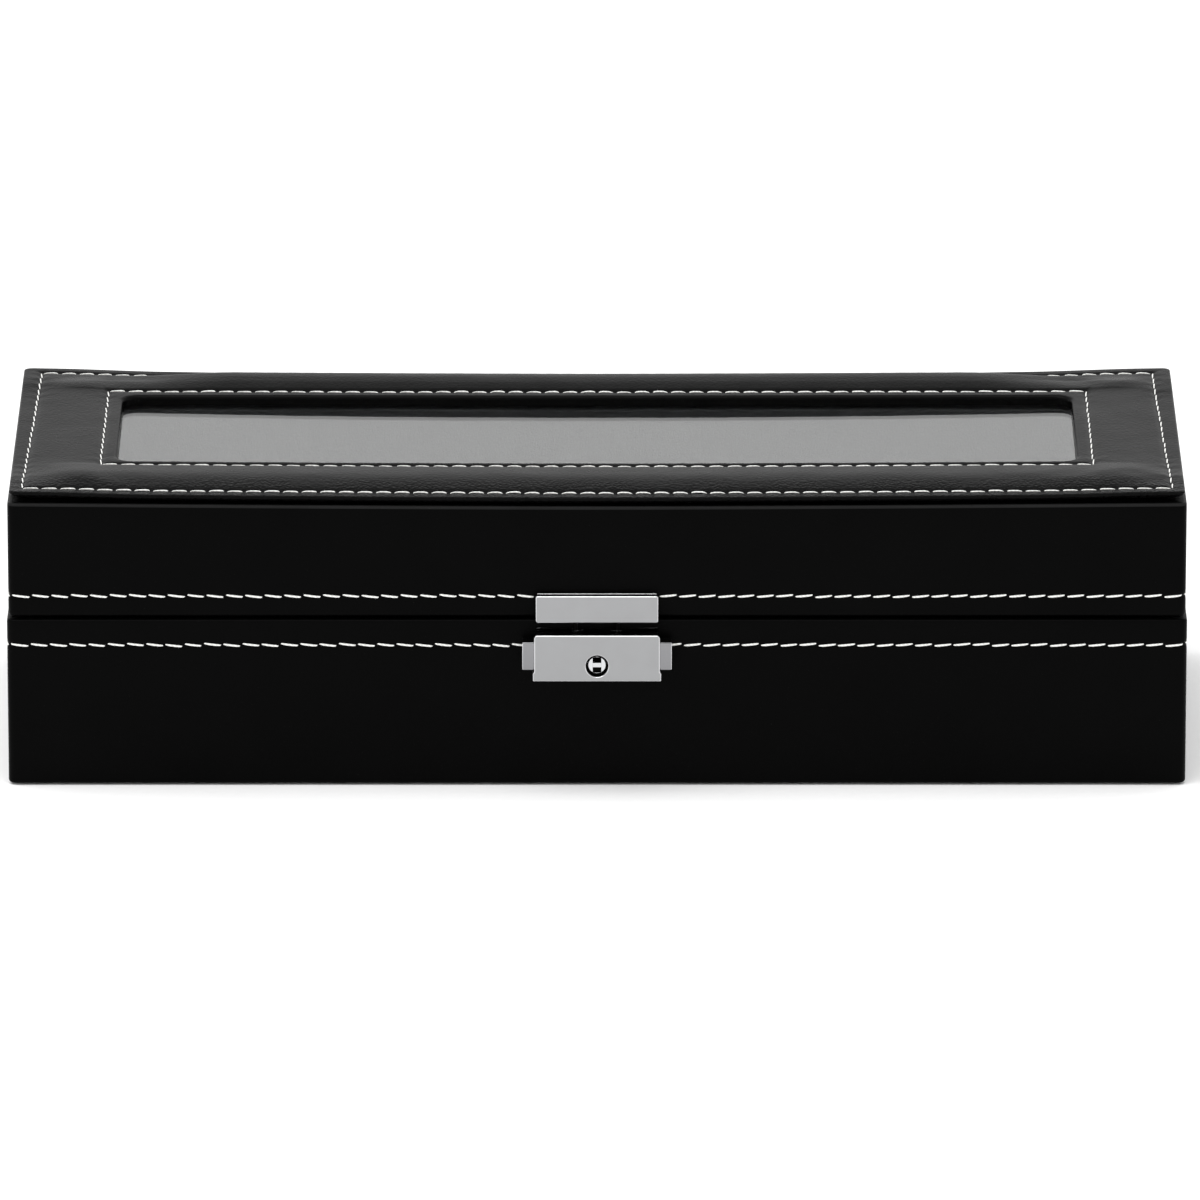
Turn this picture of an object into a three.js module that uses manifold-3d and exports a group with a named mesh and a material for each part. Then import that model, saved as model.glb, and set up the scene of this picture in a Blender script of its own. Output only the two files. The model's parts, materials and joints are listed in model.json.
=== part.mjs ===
// Watch box with six cushions, a glazed lid and a squeeze-to-open lock. Millimetres, +Z up.
// The origin is the centre of the underside. +X runs along the length and the front faces -Y.
import * as THREE from 'three';
import { mergeVertices } from 'three/addons/utils/BufferGeometryUtils.js';
import Module from 'manifold-3d';

const wasm = await Module();
wasm.setup();

// ---- Driving dimensions ------------------------------------------------------------------

// carcass
const baseLength = 300.4;
const baseDepth = 112;
const baseHeight = 44.3; // from the floor to the top edge of the base
const seamGap = 0.8; // open line between base and lid
const lidWallHeight = 30;
const lidInset = 0.4; // the lid's walls stand back from the base's on every side
const cornerRadius = 2;
const edgeSoftness = 0.7; // rounding of a wrapped edge
const wrapThickness = 0.9; // leatherette on its backing
const baseBoard = 6; // thickness of the base's walls
const lidBoard = 5; // thickness of the lid's walls
const bottomBoard = 3;
const undersideSheet = 0.8;
const undersideInset = 3; // how far the sheet stays inside the carcass
const wrapFloorGap = 0.5; // height of the base wrap's lower edge

// base interior
const linerThickness = 1.8; // velvet on card
const lipHeight = 5; // how far the liner rises into the lid
const lipClearance = 0.9; // between that lip and the lid's walls, so that the lid can swing off it
const floorPad = 1.8;
const compartments = 6;
const dividerThickness = 3;
const dividerHeight = 32;
const pillowHeight = 38;
const pillowEndGap = 6.7; // room for a strap in front of and behind a cushion
const pillowSideGap = 1.7;
const pillowRound = 15; // radius of its long edges
const pillowSoftness = 4; // rounding of its two ends

// lid top
const panelThickness = 2.25;
const panelInset = 0.4; // the top panel stands back from the lid's walls
const panelBoard = 0.8; // thin board inside the panel, with foam and leatherette over it
const panelSkin = 0.7;
const panelCornerRadius = 1.6;
const panelSoftness = 0.6;
const windowSideRail = 26.1; // width of the panel beside the window
const windowFrontRail = 27.4;
const windowBackRail = 23.4;
const windowRadius = 2.5;
const glassThickness = 2;
const glassDrop = 0.4; // from the top of the lid's walls down to the pane
const glassMargin = 5.5; // how far the pane reaches under the panel all round
const retainerThickness = 2.2; // the ledge under the pane

// hinges
const hingeSpacing = 190;
const hingeWidth = 30;
const knuckleRadius = 1.7;
const pinRadius = 0.8;
const pinHeadRadius = 1.2;
const pinHead = 0.5;
const hingeScrewSpacing = 18;

// lock
const lockWidth = 32;
const lockFlare = 0.35; // extra half width of its foot
const lockHeight = 12.2;
const lockDrop = 2; // from the base's top edge down to the case
const lockFoot = 2.5; // height of its wider foot
const lockProjection = 7.3;
const lockWall = 1;
const lockPlate = 0.5; // thickness of its back plate
const buttonDrop = 2.3; // from the case's top down to a button
const buttonHeight = 7.4;
const buttonProjection = 3.05;
const buttonTravel = 1.6;
const buttonDepth = 4.6;
const collarStep = 0.9; // how far the collar inside the case overlaps the side opening
const collarLength = 1;
const springRadius = 0.95;
const springWire = 0.2; // radius of the wire
const springTurns = 5;
const springRib = 7.7; // inner face of the rib that the spring pushes on
const ribLength = 0.8;
const armThickness = 1.5;
const armHeight = 2;
const fingerReach = 3.1; // end of the lower arm, which the cam blocks
const cylinderRise = 4.1; // from the case's bottom up to the cylinder's axis
const cylinderRadius = 2.45;
const keyholeRadius = 2.9;
const cylinderRecess = 1.2;
const cylinderFlange = 3.2;
const flangeLength = 0.8;
const keywayWidth = 2.1;
const keywayHeight = 4.1;
const keywayBar = 1.2;
const keywayDepth = 0.9;
const camReach = 2.8;
const camHalfWidth = 1;

// hasp
const haspWidth = 31.2;
const haspHeight = 7.1;
const haspThickness = 2.6;
const haspDrop = 0.95; // how far it hangs below the lid's edge
const haspScrewOffset = 10;
const prongOuter = 5.7;
const prongInner = 4.9;
const prongDepth = 1.2;
const prongReach = 5.5; // how far a prong enters the case
const hookReach = 4.1; // innermost point of the hook
const hookHeight = 1.5;

// screws
const screwRadius = 0.95;
const screwHeadRadius = 1.7;
const screwHeadDepth = 0.75;
const hingeScrewLength = 7.2;
const screwBite = 1.1; // depth of the lock's and hasp's screws in the metal
const crossSlot = 0.45;

// clearances
const fit = 0.3; // between pieces that touch
const running = 0.1; // between a hinge pin and its knuckles
const screwFit = 0.15; // around a screw in its hole
const hookPlay = 0.4; // between a hook and the back edge of its slot

// ---- Places worked out from them ---------------------------------------------------------

const baseX = baseLength / 2;
const baseY = baseDepth / 2;
const lidX = baseX - lidInset;
const lidY = baseY - lidInset;
const lidBottom = baseHeight + seamGap;
const lidWallTop = lidBottom + lidWallHeight;

const skin = wrapThickness + fit;
const boardX = baseX - skin;
const boardY = baseY - skin;
const boardTop = baseHeight - skin;
const lidBoardX = lidX - skin;
const lidBoardY = lidY - skin;
const lidRoomX = lidBoardX - lidBoard;
const lidRoomY = lidBoardY - lidBoard;
// the base's walls are thick enough to stand the liner's lip clear of the lid's walls
const wallX = Math.min(boardX - baseBoard, lidRoomX - lipClearance + fit);
const wallY = Math.min(boardY - baseBoard, lidRoomY - lipClearance + fit);
const linerX = wallX - fit;
const linerY = wallY - fit;
const roomX = linerX - linerThickness;
const roomY = linerY - linerThickness;

const bottomLow = undersideSheet + fit;
const wallLow = bottomLow + bottomBoard + fit;
const padTop = wallLow + floorPad;
const roomFloor = padTop + fit;

const compartmentWidth = (2 * roomX - (compartments - 1) * dividerThickness) / compartments;
const compartmentPitch = compartmentWidth + dividerThickness;
const pillowWidth = compartmentWidth - 2 * pillowSideGap;
const pillowLength = 2 * (roomY - pillowEndGap);

const panelLow = lidWallTop + fit;
const panelTop = panelLow + panelThickness;
const panelX = lidX - panelInset;
const panelY = lidY - panelInset;
const windowX = panelX - windowSideRail;
const windowFront = windowFrontRail - panelY;
const windowBack = panelY - windowBackRail;
const glassTop = lidWallTop - glassDrop;
const glassLow = glassTop - glassThickness;
const retainerLow = glassLow - fit - retainerThickness;

const hingeAxisY = baseY + fit + knuckleRadius;
const hingeAxisZ = baseHeight + seamGap / 2;
const leafEdgeY = linerY + fit + 1;
const hingeScrewY = (leafEdgeY + boardY) / 2;

const lockTop = baseHeight - lockDrop;
const lockBottom = lockTop - lockHeight;
const lockFootTop = lockBottom + lockFoot;
const buttonTop = lockTop - buttonDrop;
const buttonBottom = buttonTop - buttonHeight;
const buttonReach = lockWidth / 2 + buttonProjection;
const cylinderHeight = lockBottom + cylinderRise;
const prongTip = lockTop - prongReach;
const lockFront = -(baseY + lockProjection);
const lockBack = -(baseY + 0.1);
const plateFront = lockBack - lockPlate;
const prongBack = plateFront - fit - 0.05;
const prongFront = prongBack - prongDepth;
const armBack = prongFront - hookPlay - 0.15;
const armFront = armBack - armThickness;
const buttonBack = plateFront - hookPlay;
const springY = (armBack + armFront) / 2;
const upperArmLow = prongTip + hookHeight + fit;
const lowerArmLow = cylinderHeight - armHeight / 2;
const springZ = (lowerArmLow + armHeight + upperArmLow) / 2;
const lockInside = lockWidth / 2 - lockWall;
const cylinderFace = lockFront + cylinderRecess;
const cylinderFlangeFace = cylinderFace + keywayDepth;
const collarOuter = lockInside - fit;
const collarInner = collarOuter - collarLength;
const bossRadius = 2 * screwRadius;
const bossFront = springY + springRadius + springWire + fit;
const lockScrewX = collarInner - buttonTravel - fit - bossRadius;
const lockScrewZ = lockBottom + lockWall + fit + bossRadius;
const lockScrewHead = -wallY;
const lockScrewLength = lockScrewHead - plateFront + screwBite - fit;
const haspBack = -(lidY + 0.1);
const haspFront = haspBack - haspThickness;
const haspLow = lidBottom - haspDrop;
const haspScrewZ = haspLow + haspHeight / 2;
const haspScrewLength = -lidRoomY - haspBack + screwBite;

const sides = { left: -1, right: 1 };

// ---- Finishes ----------------------------------------------------------------------------

const finishes = {
  leatherette: { color: 0x101011, roughness: 0.45, metalness: 0 },
  board: { color: 0x8a6a48, roughness: 0.85, metalness: 0 },
  velvet: { color: 0x17171a, roughness: 0.95, metalness: 0 },
  felt: { color: 0x1c1c1f, roughness: 1, metalness: 0 },
  chrome: { color: 0xc8cacc, roughness: 0.12, metalness: 1 },
  steel: { color: 0x9a9c9e, roughness: 0.35, metalness: 1 },
  glass: { color: 0xdfe6e6, roughness: 0.03, metalness: 0 },
};

const group = new THREE.Group();

/** Adds one named sub-part to the object. */
function add(name, geometry, finish) {
  const mesh = new THREE.Mesh(geometry, new THREE.MeshStandardMaterial(finishes[finish]));
  mesh.name = name;
  group.add(mesh);
  return mesh;
}

// ---- Geometry helpers --------------------------------------------------------------------

/** A box between two corners. */
function block([x0, y0, z0], [x1, y1, z1]) {
  const box = new THREE.BoxGeometry(x1 - x0, y1 - y0, z1 - z0);
  return box.translate((x0 + x1) / 2, (y0 + y1) / 2, (z0 + z1) / 2);
}

/** A rectangle with rounded corners, as a closed outline. */
function roundedRectangle(x0, y0, x1, y1, radius) {
  const shape = new THREE.Shape();
  shape.absarc(x1 - radius, y1 - radius, radius, 0, Math.PI / 2);
  shape.absarc(x0 + radius, y1 - radius, radius, Math.PI / 2, Math.PI);
  shape.absarc(x0 + radius, y0 + radius, radius, Math.PI, 1.5 * Math.PI);
  shape.absarc(x1 - radius, y0 + radius, radius, 1.5 * Math.PI, 2 * Math.PI);
  return shape;
}

/** Extrudes an outline along +Z from low to high, with both rims rounded by softness. */
function prism(shape, low, high, softness = 0) {
  const settings = {
    depth: high - low - 2 * softness,
    bevelEnabled: softness > 0,
    bevelThickness: softness,
    bevelSize: softness,
    bevelOffset: -softness,
    bevelSegments: 2,
    curveSegments: 3,
  };
  return new THREE.ExtrudeGeometry(shape, settings).translate(0, 0, low + softness);
}

/** A prism whose outline is drawn in X and Z, running along Y from front to back. */
function prismAlongY(shape, front, back, softness = 0) {
  return prism(shape, -back, -front, softness).rotateX(Math.PI / 2);
}

/** A round bar along an axis, centred on a point. */
function bar(axis, radius, length, [x, y, z], segments = 12) {
  const cylinder = new THREE.CylinderGeometry(radius, radius, length, segments);
  if (axis === 'x') cylinder.rotateZ(Math.PI / 2);
  if (axis === 'z') cylinder.rotateX(Math.PI / 2);
  return cylinder.translate(x, y, z);
}

/** A turned piece: profile points are [radius, height], starting and ending on the Z axis. */
function turned(profile, segments = 16) {
  const points = profile.map(([radius, height]) => new THREE.Vector2(radius, height));
  return new THREE.LatheGeometry(points, segments).rotateX(Math.PI / 2);
}

/** The solid inside a closed geometry. */
function solidOf(geometry) {
  const bare = geometry.clone();
  bare.deleteAttribute('normal');
  bare.deleteAttribute('uv');
  const merged = mergeVertices(bare, 1e-4);
  const mesh = new wasm.Mesh({
    numProp: 3,
    vertProperties: new Float32Array(merged.attributes.position.array),
    triVerts: new Uint32Array(merged.index.array),
  });
  return new wasm.Manifold(mesh);
}

/** The geometry of a solid. */
function geometryOf(solid) {
  const mesh = solid.getMesh();
  const geometry = new THREE.BufferGeometry();
  geometry.setAttribute('position', new THREE.BufferAttribute(mesh.vertProperties, 3));
  geometry.setIndex(new THREE.BufferAttribute(mesh.triVerts, 1));
  return geometry;
}

/** One geometry with others joined to it. */
function join(first, ...others) {
  return geometryOf(others.reduce((whole, one) => whole.add(solidOf(one)), solidOf(first)));
}

/** One geometry with others cut out of it. */
function cut(body, ...tools) {
  return geometryOf(tools.reduce((whole, one) => whole.subtract(solidOf(one)), solidOf(body)));
}

// ---- Screws ------------------------------------------------------------------------------

/** A countersunk cross-head screw along +Z, its head's face at the origin and its point below. */
function screw(length) {
  const point = 1.6;
  const body = turned([
    [0, 0],
    [screwHeadRadius, 0],
    [screwRadius, -screwHeadDepth],
    [screwRadius, -(length - point)],
    [0, -length],
  ].reverse(), 12);
  const slot = screwHeadRadius * 0.6;
  const across = block([-slot, -crossSlot / 2, -crossSlot], [slot, crossSlot / 2, 1]);
  const along = block([-crossSlot / 2, -slot, -crossSlot], [crossSlot / 2, slot, 1]);
  return cut(body, across, along);
}

/** The countersunk hole for such a screw, with its axis on the origin. */
function screwHole(length) {
  const wide = screwFit;
  return turned([
    [0, 1],
    [screwHeadRadius + wide, 1],
    [screwHeadRadius + wide, 0],
    [screwRadius + wide, -screwHeadDepth],
    [screwRadius + wide, -(length + fit)],
    [0, -(length + fit)],
  ].reverse(), 12);
}

// ---- Carcass of the base -----------------------------------------------------------------

/** Leatherette over the base's walls, turned in over their top edge. */
function baseWrap() {
  const outline = roundedRectangle(-baseX, -baseY, baseX, baseY, cornerRadius);
  const shell = prism(outline, wrapFloorGap, baseHeight, edgeSoftness);
  const foot = prism(outline, wrapFloorGap, wrapFloorGap + 2 * edgeSoftness);
  const cavityX = baseX - wrapThickness;
  const cavityY = baseY - wrapThickness;
  const cavity = block([-cavityX, -cavityY, -1], [cavityX, cavityY, baseHeight - wrapThickness]);
  const mouthX = linerX + fit;
  const mouthY = linerY + fit;
  const mouth = block([-mouthX, -mouthY, -1], [mouthX, mouthY, baseHeight + 1]);
  const cuts = [cavity, mouth, ...leafRecesses(baseHeight - skin, baseHeight + 1), ...lockScrewHoles()];
  return cut(join(shell, foot), ...cuts);
}

/** The four walls of the base: long ones in front and behind, short ones between them. */
function addBaseBoards() {
  const front = block([-boardX, -boardY, wallLow], [boardX, -wallY, boardTop]);
  add('base_front_board', cut(front, ...lockScrewHoles()), 'board');
  const back = block([-boardX, wallY, wallLow], [boardX, boardY, boardTop]);
  add('base_back_board', cut(back, ...hingeScrewHoles(-1)), 'board');
  const end = wallY - fit;
  add('base_left_board', block([-boardX, -end, wallLow], [-wallX, end, boardTop]), 'board');
  add('base_right_board', block([wallX, -end, wallLow], [boardX, end, boardTop]), 'board');
}

/** The board that closes the base, and the felt sheet glued under it. */
function addBottom() {
  const low = [-boardX, -boardY, bottomLow];
  add('base_bottom_board', block(low, [boardX, boardY, bottomLow + bottomBoard]), 'board');
  const sheetX = baseX - undersideInset;
  const sheetY = baseY - undersideInset;
  add('underside_sheet', block([-sheetX, -sheetY, 0], [sheetX, sheetY, undersideSheet]), 'felt');
}

// ---- Inside the base ---------------------------------------------------------------------

/** Velvet-covered liners, which rise above the base's edge as a lip for the lid. */
function addLiners() {
  const top = baseHeight + lipHeight;
  add('liner_front', block([-linerX, -linerY, wallLow], [linerX, -roomY, top]), 'velvet');
  add('liner_back', block([-linerX, roomY, wallLow], [linerX, linerY, top]), 'velvet');
  const end = roomY - fit;
  add('liner_left', block([-linerX, -end, wallLow], [-roomX, end, top]), 'velvet');
  add('liner_right', block([roomX, -end, wallLow], [linerX, end, top]), 'velvet');
}

/** The velvet floor and the dividers that stand on it. */
function addFloorAndDividers() {
  const padX = roomX - fit;
  const padY = roomY - fit;
  add('floor_pad', block([-padX, -padY, wallLow], [padX, padY, padTop]), 'velvet');
  for (let i = 1; i < compartments; i += 1) {
    const middle = (i - compartments / 2) * compartmentPitch;
    const divider = block(
      [middle - dividerThickness / 2, -padY, roomFloor],
      [middle + dividerThickness / 2, padY, roomFloor + dividerHeight],
    );
    add(`divider_${i}`, divider, 'velvet');
  }
}

/** One loose cushion per compartment, which a closed watch strap goes round. */
function addPillows() {
  const outline = roundedRectangle(
    -pillowLength / 2, roomFloor, pillowLength / 2, roomFloor + pillowHeight, pillowRound,
  );
  const half = pillowWidth / 2;
  for (let i = 1; i <= compartments; i += 1) {
    const middle = (i - (compartments + 1) / 2) * compartmentPitch;
    const pillow = prism(outline, -half, half, pillowSoftness);
    pillow.rotateX(Math.PI / 2).rotateZ(Math.PI / 2);
    add(`pillow_${i}`, pillow.translate(middle, 0, 0), 'velvet');
  }
}

// ---- Lid ---------------------------------------------------------------------------------

/** Leatherette over the lid's walls, turned in over their lower and upper edges. */
function lidWrap() {
  const outline = roundedRectangle(-lidX, -lidY, lidX, lidY, cornerRadius);
  const shell = prism(outline, lidBottom, lidWallTop, edgeSoftness);
  const cavityX = lidX - wrapThickness;
  const cavityY = lidY - wrapThickness;
  const cavity = block(
    [-cavityX, -cavityY, lidBottom + wrapThickness],
    [cavityX, cavityY, lidWallTop - wrapThickness],
  );
  const mouth = block([-lidRoomX, -lidRoomY, 0], [lidRoomX, lidRoomY, lidWallTop + 1]);
  return cut(shell, cavity, mouth, ...leafRecesses(lidBottom - 1, lidBottom + skin), ...haspScrewHoles());
}

/** The four walls of the lid. */
function addLidBoards() {
  const low = lidBottom + skin;
  const high = lidWallTop - skin;
  const front = block([-lidBoardX, -lidBoardY, low], [lidBoardX, -lidRoomY, high]);
  add('lid_front_board', cut(front, ...haspScrewHoles()), 'board');
  const back = block([-lidBoardX, lidRoomY, low], [lidBoardX, lidBoardY, high]);
  add('lid_back_board', cut(back, ...hingeScrewHoles(1)), 'board');
  const end = lidRoomY - fit;
  add('lid_left_board', block([-lidBoardX, -end, low], [-lidRoomX, end, high]), 'board');
  add('lid_right_board', block([lidRoomX, -end, low], [lidBoardX, end, high]), 'board');
}

/** The window's outline, grown by margin on every side. */
function windowOutline(margin) {
  const x = windowX + margin;
  return roundedRectangle(-x, windowFront - margin, x, windowBack + margin, windowRadius);
}

/** The top panel's board, and the padded leatherette drawn over it and round its edges. */
function addTopPanel() {
  const boardEdge = panelSkin + fit;
  const sizeX = panelX - boardEdge;
  const sizeY = panelY - boardEdge;
  const boardHigh = panelLow + panelBoard;
  const board = block([-sizeX, -sizeY, panelLow], [sizeX, sizeY, boardHigh]);
  add('lid_top_board', cut(board, prism(windowOutline(boardEdge), 0, panelTop + 1)), 'board');

  const outline = roundedRectangle(-panelX, -panelY, panelX, panelY, panelCornerRadius);
  const cover = prism(outline, panelLow, panelTop, panelSoftness);
  const pocketX = panelX - panelSkin;
  const pocketY = panelY - panelSkin;
  const pocket = block([-pocketX, -pocketY, 0], [pocketX, pocketY, boardHigh + fit]);
  const rim = prism(windowOutline(panelSkin), 0, boardHigh + fit);
  const hollow = cut(pocket, rim);
  const window = prism(windowOutline(0), 0, panelTop + 1);
  add('lid_top_cover', cut(cover, hollow, window), 'leatherette');
}

/** The pane, and the velvet-covered frame inside the lid that holds it up to the panel. */
function addGlazing() {
  const paneX = windowX + glassMargin;
  const paneFront = windowFront - glassMargin;
  const paneBack = windowBack + glassMargin;
  const pane = block([-paneX, paneFront, glassLow], [paneX, paneBack, glassTop]);
  add('window_glass', pane, 'glass');

  const frameX = lidRoomX - fit;
  const frameY = lidRoomY - fit;
  const frame = block([-frameX, -frameY, retainerLow], [frameX, frameY, lidWallTop]);
  const rebate = block(
    [-(paneX + fit), paneFront - fit, glassLow - fit],
    [paneX + fit, paneBack + fit, lidWallTop + 1],
  );
  add('glass_retainer', cut(frame, rebate, prism(windowOutline(0), 0, panelTop)), 'velvet');
}

// ---- Hinges ------------------------------------------------------------------------------

const hingeCentres = [-hingeSpacing / 2, hingeSpacing / 2];

/** Openings in a wrap for both hinges' leaves, between two heights. */
function leafRecesses(low, high) {
  const half = hingeWidth / 2 + fit;
  return hingeCentres.map((x) => block([x - half, leafEdgeY - fit, low], [x + half, hingeAxisY, high]));
}

/** Places of a hinge's two screws, counted along X. */
function hingeScrewPlaces(x) {
  return [x - hingeScrewSpacing / 2, x + hingeScrewSpacing / 2];
}

/** Screw holes for both hinges: way is -1 for the leaves in the base and 1 for those in the lid. */
function hingeScrewHoles(way) {
  const hole = () => screwHole(hingeScrewLength);
  return hingeCentres.flatMap(hingeScrewPlaces).map((x) => standOnLeaf(hole(), x, way));
}

/** Puts a screw or its hole, made along +Z, at its place in a leaf. */
function standOnLeaf(geometry, x, way) {
  if (way > 0) geometry.rotateX(Math.PI);
  return geometry.translate(x, hingeScrewY, way < 0 ? baseHeight : lidBottom);
}

/** A hinge leaf let into a wrap, with its knuckles: two for the base's leaf, one for the lid's. */
function hingeLeaf(x, way) {
  const low = way < 0 ? baseHeight - wrapThickness : lidBottom;
  const half = hingeWidth / 2;
  const knuckle = (hingeWidth - 2 * fit) / 3;
  const knuckleCentres = way < 0 ? [x - knuckle - fit, x + knuckle + fit] : [x];
  let leaf = block([x - half, leafEdgeY, low], [x + half, baseY - fit, low + wrapThickness]);
  for (const centre of knuckleCentres) {
    const from = [centre - knuckle / 2, leafEdgeY + 1, low];
    const tongue = block(from, [centre + knuckle / 2, hingeAxisY, low + wrapThickness]);
    leaf = join(leaf, tongue, bar('x', knuckleRadius, knuckle, [centre, hingeAxisY, hingeAxisZ]));
  }
  const bore = bar('x', pinRadius + running, hingeWidth + 2, [x, hingeAxisY, hingeAxisZ]);
  const holes = hingeScrewPlaces(x).map((place) => standOnLeaf(screwHole(hingeScrewLength), place, way));
  return cut(leaf, bore, ...holes);
}

/** A hinge pin with a small head at each end. */
function hingePin(x) {
  const half = hingeWidth / 2 + fit;
  const pin = turned([
    [0, -half - pinHead],
    [pinHeadRadius, -half - pinHead],
    [pinHeadRadius, -half],
    [pinRadius, -half],
    [pinRadius, half],
    [pinHeadRadius, half],
    [pinHeadRadius, half + pinHead],
    [0, half + pinHead],
  ]);
  return pin.rotateY(Math.PI / 2).translate(x, hingeAxisY, hingeAxisZ);
}

/** Both hinges: a leaf in the base, a leaf in the lid, a pin and their screws. */
function addHinges() {
  Object.keys(sides).forEach((side, i) => {
    const x = hingeCentres[i];
    add(`hinge_${side}_base_leaf`, hingeLeaf(x, -1), 'steel');
    add(`hinge_${side}_lid_leaf`, hingeLeaf(x, 1), 'steel');
    add(`hinge_${side}_pin`, hingePin(x), 'steel');
    hingeScrewPlaces(x).forEach((place, j) => {
      const pair = [screw(hingeScrewLength), screw(hingeScrewLength)];
      add(`hinge_${side}_base_screw_${j + 1}`, standOnLeaf(pair[0], place, -1), 'steel');
      add(`hinge_${side}_lid_screw_${j + 1}`, standOnLeaf(pair[1], place, 1), 'steel');
    });
  });
}

// ---- Lock on the base --------------------------------------------------------------------

/** Turns a screw or its hole to lie along Y, head inside the box, at a place on a wall. */
function layInWall(geometry, x, headY, z) {
  return geometry.rotateX(-Math.PI / 2).translate(x, headY, z);
}

/** Holes for the two screws that hold the lock on. */
function lockScrewHoles() {
  return Object.values(sides).map((sign) => (
    layInWall(screwHole(lockScrewLength), sign * lockScrewX, lockScrewHead, lockScrewZ)));
}

/** Front outline of the lock case: rounded shoulders, and a foot that is slightly wider. */
function lockOutline() {
  const shoulder = 0.8;
  const step = 0.3;
  const half = lockWidth / 2;
  const foot = half + lockFlare;
  const shape = new THREE.Shape();
  shape.moveTo(-foot, lockBottom);
  shape.lineTo(foot, lockBottom);
  shape.lineTo(foot, lockFootTop - step);
  shape.lineTo(half, lockFootTop);
  shape.absarc(half - shoulder, lockTop - shoulder, shoulder, 0, Math.PI / 2);
  shape.absarc(shoulder - half, lockTop - shoulder, shoulder, Math.PI / 2, Math.PI);
  shape.lineTo(-half, lockFootTop);
  shape.lineTo(-foot, lockFootTop - step);
  return shape;
}

/** The cast case, open at the back, with slots for the hooks and openings for the buttons. */
function lockCase() {
  const shell = prismAlongY(lockOutline(), lockFront, lockBack, 0.3);
  const low = lockBottom + lockWall;
  const high = lockTop - lockWall;
  const inside = block(
    [-lockInside, lockFront + lockWall, low],
    [lockInside, lockBack + 1, high],
  );
  const buttonHole = block(
    [-baseX, buttonBack - buttonDepth - fit, buttonBottom - fit],
    [baseX, buttonBack + fit, buttonTop + fit],
  );
  const keyhole = bar('y', keyholeRadius, 4 * lockWall, [0, lockFront, cylinderHeight], 32);
  const flangeMiddle = cylinderFlangeFace + flangeLength / 2;
  const flangeRoom = bar(
    'y', cylinderFlange + fit, flangeLength + 2 * fit, [0, flangeMiddle, cylinderHeight], 24,
  );
  const slots = Object.values(sides).map((sign) => {
    const [near, far] = [sign * (hookReach - fit), sign * (prongOuter + fit)];
    return block(
      [Math.min(near, far), prongFront - hookPlay, high - 1],
      [Math.max(near, far), lockBack + 1, lockTop + 1],
    );
  });
  const ribs = Object.values(sides).map((sign) => {
    const [near, far] = [sign * springRib, sign * (springRib + ribLength)];
    return block(
      [Math.min(near, far), lockFront + lockWall / 2, springZ - springRadius],
      [Math.max(near, far), springY + springRadius, springZ + springRadius],
    );
  });
  const cuts = [inside, buttonHole, keyhole, flangeRoom, ...slots];
  return join(cut(shell, ...cuts), ...ribs);
}

/** The plate that closes the case against the wall, with two bosses for its screws. */
function lockBackPlate() {
  const edgeX = lockInside - fit;
  const low = lockBottom + lockWall + fit;
  const plate = block([-edgeX, plateFront, low], [edgeX, lockBack, lockTop - lockWall - fit]);
  const bossBack = plateFront + lockPlate / 2;
  const bosses = Object.values(sides).map((sign) => bar(
    'y', bossRadius, bossBack - bossFront,
    [sign * lockScrewX, (bossBack + bossFront) / 2, lockScrewZ],
  ));
  return cut(join(plate, ...bosses), ...lockScrewHoles());
}

/** The right-hand release button: cap, collar, and two arms that reach in past the hook. */
function releaseButton() {
  const front = buttonBack - buttonDepth;
  const capInner = collarOuter - collarLength / 2;
  const cap = prism(
    roundedRectangle(front, buttonBottom, buttonBack, buttonTop, 0.4), capInner, buttonReach, 0.25,
  ).rotateX(Math.PI / 2).rotateZ(Math.PI / 2);
  const collar = block(
    [collarInner, front, buttonBottom - collarStep],
    [collarOuter, buttonBack, buttonTop + collarStep],
  );
  const armEnd = capInner;
  const noseOuter = prongInner - fit;
  const noseInner = noseOuter - hookHeight;
  const upperArm = block(
    [noseInner, armFront, upperArmLow],
    [armEnd, armBack, upperArmLow + armHeight],
  );
  const nose = block(
    [noseInner, armFront, upperArmLow],
    [noseOuter, prongBack, upperArmLow + armHeight],
  );
  const lowerArm = block(
    [fingerReach, armFront, lowerArmLow],
    [armEnd, armBack, lowerArmLow + armHeight],
  );
  return join(cap, collar, upperArm, nose, lowerArm);
}

/** The right-hand return spring, a closed helix between the case's rib and the collar. */
function returnSpring() {
  const from = springRib + ribLength + fit + springWire;
  const to = collarInner - fit - springWire;
  class Helix extends THREE.Curve {
    getPoint(t, target = new THREE.Vector3()) {
      const angle = 2 * Math.PI * springTurns * t;
      const y = springY + springRadius * Math.cos(angle);
      return target.set(from + (to - from) * t, y, springZ + springRadius * Math.sin(angle));
    }
  }
  const wire = new THREE.Shape();
  wire.absarc(0, 0, springWire, 0, 2 * Math.PI);
  const settings = { extrudePath: new Helix(), steps: springTurns * 8, curveSegments: 3 };
  return new THREE.ExtrudeGeometry(wire, settings);
}

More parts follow.
